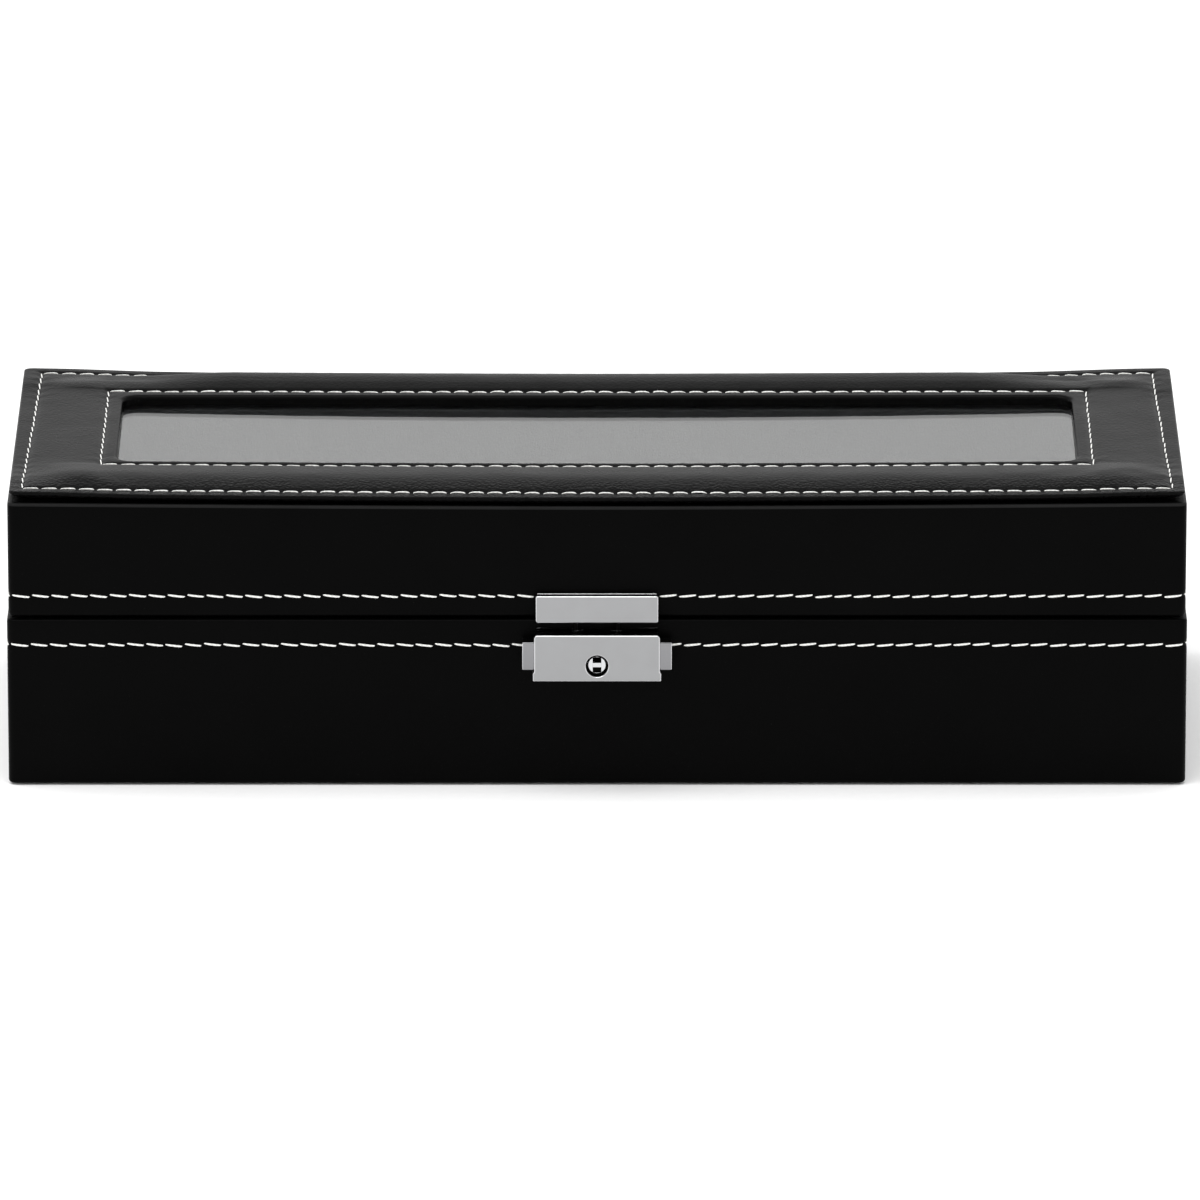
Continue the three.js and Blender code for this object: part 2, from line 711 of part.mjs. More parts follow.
/** The key cylinder, recessed behind the keyhole, with its keyway upright and a bar across it. */
function keyCylinder() {
  const face = cylinderFace;
  const flangeFace = cylinderFlangeFace;
  const flangeBack = flangeFace + flangeLength;
  const chamfer = 0.25;
  const body = turned([
    [0, -face],
    [cylinderRadius - chamfer, -face],
    [cylinderRadius, -face - chamfer],
    [cylinderRadius, -flangeFace],
    [cylinderFlange, -flangeFace],
    [cylinderFlange, -flangeBack],
    [0, -flangeBack],
  ].reverse(), 24);
  body.rotateX(Math.PI / 2).translate(0, 0, cylinderHeight);
  const pockets = [-1, 1].map((sign) => {
    const near = cylinderHeight + sign * keywayBar / 2;
    const far = cylinderHeight + sign * keywayHeight / 2;
    return block(
      [-keywayWidth / 2, face - 1, Math.min(near, far)],
      [keywayWidth / 2, face + keywayDepth, Math.max(near, far)],
    );
  });
  return cut(body, ...pockets);
}

/** The cam behind the cylinder: upright when unlocked, across the buttons' arms when locked. */
function keyCam() {
  const [low, high] = [cylinderHeight - camReach, cylinderHeight + camReach];
  const lever = roundedRectangle(-camHalfWidth, low, camHalfWidth, high, camHalfWidth / 2);
  return prismAlongY(lever, armFront, armBack);
}

/** Mirrors a closed geometry in the plane x = 0. */
function mirrored(geometry) {
  const copy = geometry.clone().scale(-1, 1, 1);
  return geometryOf(solidOf(flipped(copy)));
}

/** Turns every triangle of a geometry round. */
function flipped(geometry) {
  const indexed = geometry.index ? geometry : mergeVertices(geometry);
  const index = indexed.index.array;
  for (let i = 0; i < index.length; i += 3) {
    [index[i], index[i + 1]] = [index[i + 1], index[i]];
  }
  return indexed;
}

/** The whole lock: case, back plate, screws, buttons, springs, cylinder and cam. */
function addLock() {
  add('lock_case', lockCase(), 'chrome');
  add('lock_back_plate', lockBackPlate(), 'steel');
  add('key_cylinder', keyCylinder(), 'chrome');
  add('key_cam', keyCam(), 'steel');
  add('button_right', releaseButton(), 'chrome');
  add('button_left', mirrored(releaseButton()), 'chrome');
  add('spring_right', returnSpring(), 'steel');
  add('spring_left', mirrored(returnSpring()), 'steel');
  for (const [side, sign] of Object.entries(sides)) {
    const piece = layInWall(screw(lockScrewLength), sign * lockScrewX, lockScrewHead, lockScrewZ);
    add(`lock_screw_${side}`, piece, 'steel');
  }
}

// ---- Hasp on the lid ---------------------------------------------------------------------

/** Holes for the two screws that hold the hasp plate on. */
function haspScrewHoles() {
  return Object.values(sides).map((sign) => (
    layInWall(screwHole(haspScrewLength), sign * haspScrewOffset, -lidRoomY, haspScrewZ)));
}

/** The hasp plate with its two hooked prongs, which enter the lock case from above. */
function haspPlate() {
  const outline = roundedRectangle(-haspWidth / 2, haspLow, haspWidth / 2, haspLow + haspHeight, 0.5);
  const plate = prismAlongY(outline, haspFront, haspBack, 0.25);
  const prongs = Object.values(sides).map((sign) => {
    const stem = [sign * prongInner, sign * prongOuter];
    const hook = [sign * hookReach, sign * prongOuter];
    return join(
      block([Math.min(...stem), prongFront, prongTip], [Math.max(...stem), prongBack, haspLow + 2]),
      block(
        [Math.min(...hook), prongFront, prongTip],
        [Math.max(...hook), prongBack, prongTip + hookHeight],
      ),
    );
  });
  return cut(join(plate, ...prongs), ...haspScrewHoles());
}

/** The hasp plate and its screws. */
function addHasp() {
  add('hasp_plate', haspPlate(), 'chrome');
  for (const [side, sign] of Object.entries(sides)) {
    const piece = layInWall(screw(haspScrewLength), sign * haspScrewOffset, -lidRoomY, haspScrewZ);
    add(`hasp_screw_${side}`, piece, 'steel');
  }
}

// ---- The object --------------------------------------------------------------------------

add('base_wrap', baseWrap(), 'leatherette');
addBaseBoards();
addBottom();
addLiners();
addFloorAndDividers();
addPillows();
add('lid_wrap', lidWrap(), 'leatherette');
addLidBoards();
addTopPanel();
addGlazing();
addHinges();
addLock();
addHasp();

export default group;
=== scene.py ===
"""A watch box in black leatherette, with a window in its padded lid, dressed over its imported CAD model."""

import json
import logging
import math
import random
from collections.abc import Callable, Sequence
from dataclasses import dataclass, field
from enum import Enum
from typing import Any

import bmesh
import bpy
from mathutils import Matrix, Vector, noise

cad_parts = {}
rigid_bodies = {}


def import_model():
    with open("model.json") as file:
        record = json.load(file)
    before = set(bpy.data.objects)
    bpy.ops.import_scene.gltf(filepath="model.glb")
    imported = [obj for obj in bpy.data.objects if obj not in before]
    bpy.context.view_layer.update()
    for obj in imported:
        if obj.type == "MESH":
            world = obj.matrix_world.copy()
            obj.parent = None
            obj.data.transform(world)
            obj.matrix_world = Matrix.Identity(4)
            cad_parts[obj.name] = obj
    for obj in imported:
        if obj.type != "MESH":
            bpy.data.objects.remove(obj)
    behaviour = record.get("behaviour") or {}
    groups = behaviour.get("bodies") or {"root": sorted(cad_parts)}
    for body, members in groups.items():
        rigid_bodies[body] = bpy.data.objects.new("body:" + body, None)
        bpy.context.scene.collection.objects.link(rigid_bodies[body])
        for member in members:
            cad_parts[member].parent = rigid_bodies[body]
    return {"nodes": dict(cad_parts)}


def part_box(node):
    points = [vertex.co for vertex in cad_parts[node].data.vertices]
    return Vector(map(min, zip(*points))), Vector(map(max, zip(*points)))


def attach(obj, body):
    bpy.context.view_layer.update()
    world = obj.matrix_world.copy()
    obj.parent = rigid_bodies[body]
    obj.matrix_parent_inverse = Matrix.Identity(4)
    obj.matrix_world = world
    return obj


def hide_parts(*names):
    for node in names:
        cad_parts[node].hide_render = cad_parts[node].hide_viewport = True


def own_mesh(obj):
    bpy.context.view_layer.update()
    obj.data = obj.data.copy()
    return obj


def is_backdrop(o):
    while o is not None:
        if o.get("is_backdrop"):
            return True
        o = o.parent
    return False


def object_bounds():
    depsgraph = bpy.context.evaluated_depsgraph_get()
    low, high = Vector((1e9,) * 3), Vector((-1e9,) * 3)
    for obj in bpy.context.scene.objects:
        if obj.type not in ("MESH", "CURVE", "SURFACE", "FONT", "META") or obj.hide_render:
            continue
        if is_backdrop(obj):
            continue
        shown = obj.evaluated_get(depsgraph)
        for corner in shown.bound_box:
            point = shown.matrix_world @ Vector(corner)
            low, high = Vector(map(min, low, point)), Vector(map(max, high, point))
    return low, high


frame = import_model()

MM = 0.001
HAIR = 0.02  # mm, between two cuts that make a step
BEND_LINES = [x * 10 for x in range(-14, 15)]  # mm, where long pieces may bend
LOG = logging.getLogger("watch_box")


# ---- Small tools ---------------------------------------------------------------------------


class Pick(Enum):
    """What is picked in edit mode."""

    POINTS = "VERT"
    EDGES = "EDGE"
    FACES = "FACE"


def deselect() -> None:
    """Leaves edit mode and deselects everything."""
    if bpy.context.object and bpy.context.object.mode != "OBJECT":
        bpy.ops.object.mode_set(mode="OBJECT")
    bpy.ops.object.select_all(action="DESELECT")


def smoothstep(value: float) -> float:
    """Runs smoothly from 0 to 1 while value does."""
    t = min(1.0, max(0.0, value))
    return t * t * (3 - 2 * t)


def box_mm(name: str) -> tuple[list[float], list[float]]:
    """Gives a CAD node's lowest and highest corners, in mm."""
    low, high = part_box(name)
    return [v / MM for v in low], [v / MM for v in high]


class Bench:
    """One piece on the bench: its object, and the operators that shape it. Its lengths are in mm."""

    def __init__(self, obj: bpy.types.Object) -> None:
        """Takes an object and makes it the only selected one.

        Args:
            obj: A mesh object whose place is in its mesh.
        """
        self.obj = obj
        self.alone()

    def alone(self) -> None:
        """Selects this piece and nothing else."""
        deselect()
        bpy.context.view_layer.objects.active = self.obj
        self.obj.select_set(True)

    @classmethod
    def fresh(cls, name: str) -> "Bench":
        """Takes the primitive that was just added, and puts its place into its mesh.

        Args:
            name: The piece's name.

        Returns:
            The bench with the new piece on it.
        """
        obj = bpy.context.object
        obj.name = name
        obj.data.name = name
        bpy.ops.object.transform_apply(location=True, rotation=True, scale=True)
        return cls(obj)

    @classmethod
    def block(cls, name: str, low: Sequence[float], high: Sequence[float]) -> "Bench":
        """Starts a piece from a cube primitive between two corners.

        Args:
            name: The piece's name.
            low: Its lowest corner.
            high: Its highest corner.

        Returns:
            The bench with the new piece on it.
        """
        deselect()
        middle = [(a + b) / 2 * MM for a, b in zip(low, high)]
        size = [(b - a) * MM for a, b in zip(low, high)]
        bpy.ops.mesh.primitive_cube_add(size=1, location=middle, scale=size)
        return cls.fresh(name)

    @classmethod
    def copy_of(cls, name: str, source: bpy.types.Object) -> "Bench":
        """Starts a piece from a copy of another one's mesh, with its doubles merged.

        Args:
            name: The piece's name.
            source: The object whose mesh is copied.

        Returns:
            The bench with the new piece on it.
        """
        obj = bpy.data.objects.new(name, source.data.copy())
        obj.data.name = name
        bpy.context.scene.collection.objects.link(obj)
        bench = cls(obj)
        bench.edit()
        bpy.ops.mesh.select_all(action="SELECT")
        bpy.ops.mesh.remove_doubles(threshold=0.002 * MM)
        bench.done()
        return bench

    def edit(self) -> None:
        """Goes into edit mode."""
        bpy.ops.object.mode_set(mode="EDIT")

    def done(self) -> None:
        """Leaves edit mode."""
        bpy.ops.object.mode_set(mode="OBJECT")

    def pick(self, kind: Pick, test: Callable[[Any], bool]) -> None:
        """Selects the parts of the mesh that pass a test, in edit mode.

        Args:
            kind: Points, edges or faces.
            test: Says whether a part is picked.
        """
        bpy.ops.mesh.select_mode(type=kind.value)
        bpy.ops.mesh.select_all(action="DESELECT")
        mesh = bmesh.from_edit_mesh(self.obj.data)
        found = {Pick.POINTS: mesh.verts, Pick.EDGES: mesh.edges, Pick.FACES: mesh.faces}[kind]
        for part in found:
            if test(part):
                part.select_set(True)
        mesh.select_flush_mode()
        bmesh.update_edit_mesh(self.obj.data)

    def slice_at(self, axis: int, places: Sequence[float]) -> None:
        """Cuts the whole mesh by planes across an axis, so that it can bend there.

        Args:
            axis: 0, 1 or 2, for x, y or z.
            places: Where the planes are along it.
        """
        normal = [1.0 if i == axis else 0.0 for i in range(3)]
        for place in places:
            bpy.ops.mesh.select_all(action="SELECT")
            bpy.ops.mesh.bisect(plane_co=[n * place * MM for n in normal], plane_no=normal)

    def reshape(self, move: Callable[[float, float, float], tuple[float, float, float]]) -> None:
        """Moves every point of the mesh, in object mode.

        Args:
            move: Gives a point's new place from its old one.
        """
        for point in self.obj.data.vertices:
            x, y, z = (c / MM for c in point.co)
            point.co = [c * MM for c in move(x, y, z)]

    def modify(self, kind: str, **settings: Any) -> None:
        """Adds a modifier and applies it.

        Args:
            kind: The modifier's type.
            settings: Its settings by name.
        """
        modifier = self.obj.modifiers.new(kind.title(), kind)
        for key, value in settings.items():
            setattr(modifier, key, value)
        self.alone()
        bpy.ops.object.modifier_apply(modifier=modifier.name)

    def smooth(self, angle: float = 35) -> None:
        """Shades the piece smooth, apart from edges sharper than an angle in degrees."""
        self.alone()
        bpy.ops.object.shade_smooth_by_angle(angle=math.radians(angle))

    def face_out(self) -> None:
        """Merges doubles and turns every face outwards."""
        self.alone()
        self.edit()
        bpy.ops.mesh.select_all(action="SELECT")
        bpy.ops.mesh.remove_doubles(threshold=0.002 * MM)
        bpy.ops.mesh.normals_make_consistent(inside=False)
        self.done()

    def join_in(self, others: Sequence["Bench"]) -> None:
        """Joins other pieces into this one."""
        if not others:
            return
        deselect()
        for other in others:
            other.obj.select_set(True)
        self.obj.select_set(True)
        bpy.context.view_layer.objects.active = self.obj
        bpy.ops.object.join()

    def dress(
        self,
        finish: bpy.types.Material,
        body: str,
        slot: str,
        *nodes: str,
        more: Sequence[bpy.types.Material] = (),
    ) -> bpy.types.Object:
        """Gives the piece its material and its body, and hides the CAD nodes it replaces.

        Args:
            finish: The material.
            body: The CAD body it rides on.
            slot: The record's material slot. Not used.
            nodes: CAD nodes that it replaces.
            more: Materials of the faces that already have a higher material number.

        Returns:
            The finished object.
        """
        parts = [face.material_index for face in self.obj.data.polygons]
        self.obj.data.materials.clear()
        for material in (finish, *more):
            self.obj.data.materials.append(material)
        for face, index in zip(self.obj.data.polygons, parts):
            face.material_index = min(index, len(more))
        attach(self.obj, body)
        if nodes:
            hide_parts(*nodes)
        LOG.info("%s: %d faces, on %s", self.obj.name, len(self.obj.data.polygons), body)
        return self.obj


# ---- Finishes ------------------------------------------------------------------------------


def linear(colour: str) -> tuple[float, float, float, float]:
    """Turns an sRGB hex colour to the linear one that shaders take.

    Args:
        colour: Such as "#d8d4cc".

    Returns:
        Linear red, green, blue and alpha.
    """
    parts = [int(colour[i : i + 2], 16) / 255 for i in (1, 3, 5)]
    made = [c / 12.92 if c <= 0.04045 else ((c + 0.055) / 1.055) ** 2.4 for c in parts]
    return made[0], made[1], made[2], 1.0


def put(
    tree: bpy.types.NodeTree,
    kind: str,
    settings: dict[Any, Any] | None = None,
    links: dict[Any, Any] | None = None,
) -> bpy.types.Node:
    """Adds one node with its settings and its links.

    Args:
        tree: The material's node tree.
        kind: The node's type.
        settings: Property or socket values, by name, or by number for a socket.
        links: Output sockets to join to this node's inputs, by name or number.

    Returns:
        The new node.
    """
    made = tree.nodes.new(kind)
    for key, value in (settings or {}).items():
        if isinstance(key, str) and key[0].islower():
            setattr(made, key, value)
        else:
            made.inputs[key].default_value = value
    for key, source in (links or {}).items():
        tree.links.new(source, made.inputs[key])
    return made


@dataclass(frozen=True)
class Finish:
    """What every finish has: a name, and a shader of its own in a new material."""

    name: str

    def start(self) -> tuple[bpy.types.Material, bpy.types.NodeTree, Any]:
        """Makes an empty material.

        Returns:
            The material, its tree, and object coordinates in metres.
        """
        material = bpy.data.materials.new(self.name)
        material.use_nodes = True
        tree = material.node_tree
        tree.nodes.clear()
        place = put(tree, "ShaderNodeTexCoord").outputs["Object"]
        return material, tree, place

    def close(self, tree: bpy.types.NodeTree, settings: dict[str, Any], links: dict[str, Any]) -> None:
        """Adds the shader and the output.

        Args:
            tree: The material's tree.
            settings: Values on the shader's own sockets.
            links: What drives its other sockets.
        """
        shader = put(tree, "ShaderNodeBsdfPrincipled", settings, links)
        put(tree, "ShaderNodeOutputMaterial", None, {"Surface": shader.outputs["BSDF"]})


@dataclass(frozen=True)
class Leatherette(Finish):
    """PVC leatherette, calendered and embossed: near black, with a low gloss that grows at grazing angles
    and a fine pebble grain that breaks it up."""

    colour: str = "#040404"
    rubbed: str = "#080808"
    grain: float = 0.62  # mm across a pebble
    relief: float = 0.035  # mm
    crease: float = 0.10  # mm, long soft creases
    roughness: float = 0.34
    ior: float = 1.125
    opened: float = 1.0  # how much deeper the grain is where it is pulled over the padding's front
    slope: tuple[float, float] = (-50.5, -42.5)  # mm, where that slope begins and ends, along y

    def make(self) -> bpy.types.Material:
        """Makes the material."""
        material, tree, place = self.start()
        split = put(tree, "ShaderNodeSeparateXYZ", {}, {"Vector": place})
        depth = put(
            tree,
            "ShaderNodeMapRange",
            {
                "From Min": self.slope[0] * MM,
                "From Max": self.slope[1] * MM,
                "To Min": self.relief * self.opened * MM,
                "To Max": self.relief * MM,
            },
            {"Value": split.outputs["Y"]},
        )
        pebble = put(
            tree,
            "ShaderNodeTexVoronoi",
            {"feature": "SMOOTH_F1", "Scale": 1 / (self.grain * MM), "Smoothness": 0.6},
            {"Vector": place},
        )
        pores = put(
            tree,
            "ShaderNodeTexNoise",
            {"Scale": 1 / (0.28 * MM), "Detail": 2.0},
            {"Vector": place},
        )
        stretch = put(
            tree,
            "ShaderNodeMapping",
            {"Scale": (0.55, 1.0, 1.0)},
            {"Vector": place},
        )
        folds = put(
            tree,
            "ShaderNodeTexNoise",
            {"Scale": 1 / (9 * MM), "Detail": 3.0, "Roughness": 0.45, "Distortion": 0.4},
            {"Vector": stretch.outputs[0]},
        )
        wear = put(
            tree,
            "ShaderNodeTexNoise",
            {"Scale": 1 / (22 * MM), "Detail": 5.0, "Roughness": 0.6},
            {"Vector": place},
        )
        shade = put(
            tree,
            "ShaderNodeMix",
            {"data_type": "RGBA", 6: linear(self.colour), 7: linear(self.rubbed)},
            {0: wear.outputs[0]},
        )
        gloss = put(
            tree,
            "ShaderNodeMapRange",
            {"To Min": self.roughness - 0.05, "To Max": self.roughness + 0.07},
            {"Value": wear.outputs[0]},
        )
        fine = put(
            tree,
            "ShaderNodeMath",
            {"operation": "MULTIPLY_ADD", 1: 0.35},
            {0: pores.outputs[0], 2: pebble.outputs["Distance"]},
        )
        soft = put(
            tree,
            "ShaderNodeBump",
            {"Distance": self.crease * MM, "Strength": 1.0},
            {"Height": folds.outputs[0]},
        )
        bump = put(
            tree,
            "ShaderNodeBump",
            {"Strength": 1.0},
            {"Height": fine.outputs[0], "Distance": depth.outputs[0], "Normal": soft.outputs[0]},
        )
        self.close(
            tree,
            {"IOR": self.ior, "Metallic": 0.0},
            {
                "Base Color": shade.outputs[2],
                "Roughness": gloss.outputs[0],
                "Normal": bump.outputs[0],
            },
        )
        return material


@dataclass(frozen=True)
class Velvet(Finish):
    """Flocked velvet: short upright fibres, which swallow light face on and give a soft pale edge."""

    colour: str = "#0c0c0d"
    tip: str = "#151517"
    pile: float = 0.5  # mm between tufts, drawn coarser than flock is
    sheen: float = 0.16

    def make(self) -> bpy.types.Material:
        """Makes the material."""
        material, tree, place = self.start()
        tufts = put(
            tree,
            "ShaderNodeTexNoise",
            {"Scale": 1 / (self.pile * MM), "Detail": 3.0},
            {"Vector": place},
        )
        brushed = put(
            tree,
            "ShaderNodeTexNoise",
            {"Scale": 1 / (17 * MM), "Detail": 4.0, "Distortion": 0.8},
            {"Vector": place},
        )
        lay = put(
            tree,
            "ShaderNodeMath",
            {"operation": "MULTIPLY"},
            {0: tufts.outputs[0], 1: brushed.outputs[0]},
        )
        shade = put(
            tree,
            "ShaderNodeMix",
            {"data_type": "RGBA", 6: linear(self.colour), 7: linear(self.tip)},
            {0: lay.outputs[0]},
        )
        bump = put(
            tree,
            "ShaderNodeBump",
            {"Distance": 0.12 * MM, "Strength": 1.0},
            {"Height": tufts.outputs[0]},
        )
        self.close(
            tree,
            {
                "Roughness": 0.95,
                "IOR": 1.2,
                "Sheen Weight": self.sheen,
                "Sheen Roughness": 0.45,
            },
            {"Base Color": shade.outputs[2], "Normal": bump.outputs[0]},
        )
        return material


@dataclass(frozen=True)
class Fibreboard(Finish):
    """Raw medium-density fibreboard: pressed wood fibres, tan, matt, with darker specks."""

    colour: str = "#a9825a"
    speck: str = "#6f4f31"

    def make(self) -> bpy.types.Material:
        """Makes the material."""
        material, tree, place = self.start()
        stretch = put(
            tree,
            "ShaderNodeMapping",
            {"Scale": (0.3, 1.0, 1.0)},
            {"Vector": place},
        )
        fibres = put(
            tree,
            "ShaderNodeTexNoise",
            {"Scale": 1 / (1.2 * MM), "Detail": 5.0, "Roughness": 0.7},
            {"Vector": stretch.outputs[0]},
        )
        shade = put(
            tree,
            "ShaderNodeMix",
            {"data_type": "RGBA", 6: linear(self.colour), 7: linear(self.speck)},
            {0: fibres.outputs[0]},
        )
        bump = put(
            tree,
            "ShaderNodeBump",
            {"Distance": 0.05 * MM, "Strength": 1.0},
            {"Height": fibres.outputs[0]},
        )
        self.close(
            tree,
            {"Roughness": 0.85},
            {"Base Color": shade.outputs[2], "Normal": bump.outputs[0]},
        )
        return material


@dataclass(frozen=True)
class Felt(Finish):
    """Needled wool-mix felt: matt, dark grey, with matted fibres in all directions."""

    colour: str = "#17171a"
    fibre: str = "#2c2c30"

    def make(self) -> bpy.types.Material:
        """Makes the material."""
        material, tree, place = self.start()
        mat = put(
            tree,
            "ShaderNodeTexNoise",
            {"Scale": 1 / (0.8 * MM), "Detail": 6.0, "Distortion": 1.6},
            {"Vector": place},
        )
        clouds = put(
            tree,
            "ShaderNodeTexNoise",
            {"Scale": 1 / (14 * MM), "Detail": 3.0},
            {"Vector": place},
        )
        lay = put(
            tree,
            "ShaderNodeMath",
            {"operation": "MULTIPLY"},
            {0: mat.outputs[0], 1: clouds.outputs[0]},
        )
        shade = put(
            tree,
            "ShaderNodeMix",
            {"data_type": "RGBA", 6: linear(self.colour), 7: linear(self.fibre)},
            {0: lay.outputs[0]},
        )
        bump = put(
            tree,
            "ShaderNodeBump",
            {"Distance": 0.15 * MM, "Strength": 1.0},
            {"Height": mat.outputs[0]},
        )
        self.close(
            tree,
            {"Roughness": 1.0, "Sheen Weight": 0.2, "Sheen Roughness": 0.6},
            {"Base Color": shade.outputs[2], "Normal": bump.outputs[0]},
        )
        return material


@dataclass(frozen=True)
class FloatGlass(Finish):
    """Float glass: clear and smooth, so at the low angle it mostly mirrors, with a faint ripple."""

    tint: str = "#f6f8f7"
    roughness: float = 0.015

    def make(self) -> bpy.types.Material:
        """Makes the material."""
        material, tree, place = self.start()
        ripple = put(
            tree,
            "ShaderNodeTexNoise",
            {"Scale": 1 / (60 * MM), "Detail": 1.0},
            {"Vector": place},
        )
        film = put(
            tree,
            "ShaderNodeTexNoise",
            {"Scale": 1 / (18 * MM), "Detail": 4.0},
            {"Vector": place},
        )
        gloss = put(
            tree,
            "ShaderNodeMapRange",
            {"To Min": self.roughness, "To Max": self.roughness + 0.02},
            {"Value": film.outputs[0]},
        )
        bump = put(
            tree,
            "ShaderNodeBump",
            {"Distance": 0.05 * MM, "Strength": 1.0},
            {"Height": ripple.outputs[0]},
        )
        self.close(
            tree,
            {
                "Base Color": linear(self.tint),
                "IOR": 1.46,
                "Transmission Weight": 1.0,
            },
            {"Roughness": gloss.outputs[0], "Normal": bump.outputs[0]},
        )
        return material


@dataclass(frozen=True)
class PlatedMetal(Finish):
    """Metal with a plated, polished or brushed skin: a clear reflection, softened by fine scratches."""

    colour: str = "#c2c3c5"
    dull: str = "#a5a6a8"
    roughness: float = 0.11
    scratch: float = 0.35  # mm between scratches, drawn coarser than they are
    relief: float = 0.0015  # mm
    along: tuple[float, float, float] = (0.06, 1.0, 1.0)

    def make(self) -> bpy.types.Material:
        """Makes the material."""
        material, tree, place = self.start()
        stretch = put(
            tree,
            "ShaderNodeMapping",
            {"Scale": self.along},
            {"Vector": place},
        )
        lines = put(
            tree,
            "ShaderNodeTexNoise",
            {"Scale": 1 / (self.scratch * MM), "Detail": 3.0},
            {"Vector": stretch.outputs[0]},
        )
        handled = put(
            tree,
            "ShaderNodeTexNoise",
            {"Scale": 1 / (5 * MM), "Detail": 4.0},
            {"Vector": place},
        )
        shade = put(
            tree,
            "ShaderNodeMix",
            {"data_type": "RGBA", 6: linear(self.colour), 7: linear(self.dull)},
            {0: handled.outputs[0]},
        )
        gloss = put(
            tree,
            "ShaderNodeMapRange",
            {"To Min": self.roughness * 0.75, "To Max": self.roughness * 1.35},
            {"Value": handled.outputs[0]},
        )
        bump = put(
            tree,
            "ShaderNodeBump",
            {"Distance": self.relief * MM, "Strength": 1.0},
            {"Height": lines.outputs[0]},
        )
        self.close(
            tree,
            {"Metallic": 1.0},
            {
                "Base Color": shade.outputs[2],
                "Roughness": gloss.outputs[0],
                "Normal": bump.outputs[0],
            },
        )
        return material


@dataclass(frozen=True)
class Thread(Finish):
    """Twisted polyester thread: off-white, matt, with the ply showing as fine slanting bands, whose darker
    tone is painted shade.
    """

    colour: str = "#fafaf7"
    # Painted shade: the darker tone of the ply's slanting bands.
    ply_shade: str = "#d2d1cc"

    def make(self) -> bpy.types.Material:
        """Makes the material."""
        material, tree, place = self.start()
        turn = put(
            tree,
            "ShaderNodeMapping",
            {"Rotation": (0.6, 0.5, 0.7)},
            {"Vector": place},
        )
        ply = put(
            tree,
            "ShaderNodeTexWave",
            {"Scale": 1 / (2.2 * MM), "Distortion": 1.5, "Detail": 1.0},
            {"Vector": turn.outputs[0]},
        )
        fuzz = put(
            tree,
            "ShaderNodeTexNoise",
            {"Scale": 1 / (0.15 * MM), "Detail": 2.0},
            {"Vector": place},
        )
        lay = put(
            tree,
            "ShaderNodeMath",
            {"operation": "MULTIPLY"},
            {0: ply.outputs[0], 1: fuzz.outputs[0]},
        )
        shade = put(
            tree,
            "ShaderNodeMix",
            {"data_type": "RGBA", 6: linear(self.colour), 7: linear(self.ply_shade)},
            {0: lay.outputs[0]},
        )
        bump = put(
            tree,
            "ShaderNodeBump",
            {"Distance": 0.05 * MM, "Strength": 1.0},
            {"Height": lay.outputs[0]},
        )
        self.close(
            tree,
            {"Roughness": 0.7, "Sheen Weight": 0.1},
            {"Base Color": shade.outputs[2], "Normal": bump.outputs[0]},
        )
        return material


@dataclass(frozen=True)
class PaintedFloor(Finish):
    """Matt white paint on a board: pale, even, with a trace of roller texture."""

    colour: str = "#ffffff"
    second: str = "#fbfbfb"

    def make(self) -> bpy.types.Material:
        """Makes the material."""
        material, tree, place = self.start()
        roller = put(
            tree,
            "ShaderNodeTexNoise",
            {"Scale": 1 / (3 * MM), "Detail": 2.0},
            {"Vector": place},
        )
        shade = put(
            tree,
            "ShaderNodeMix",
            {"data_type": "RGBA", 6: linear(self.colour), 7: linear(self.second)},
            {0: roller.outputs[0]},
        )
        self.close(tree, {"Roughness": 0.9, "IOR": 1.1}, {"Base Color": shade.outputs[2]})
        return material


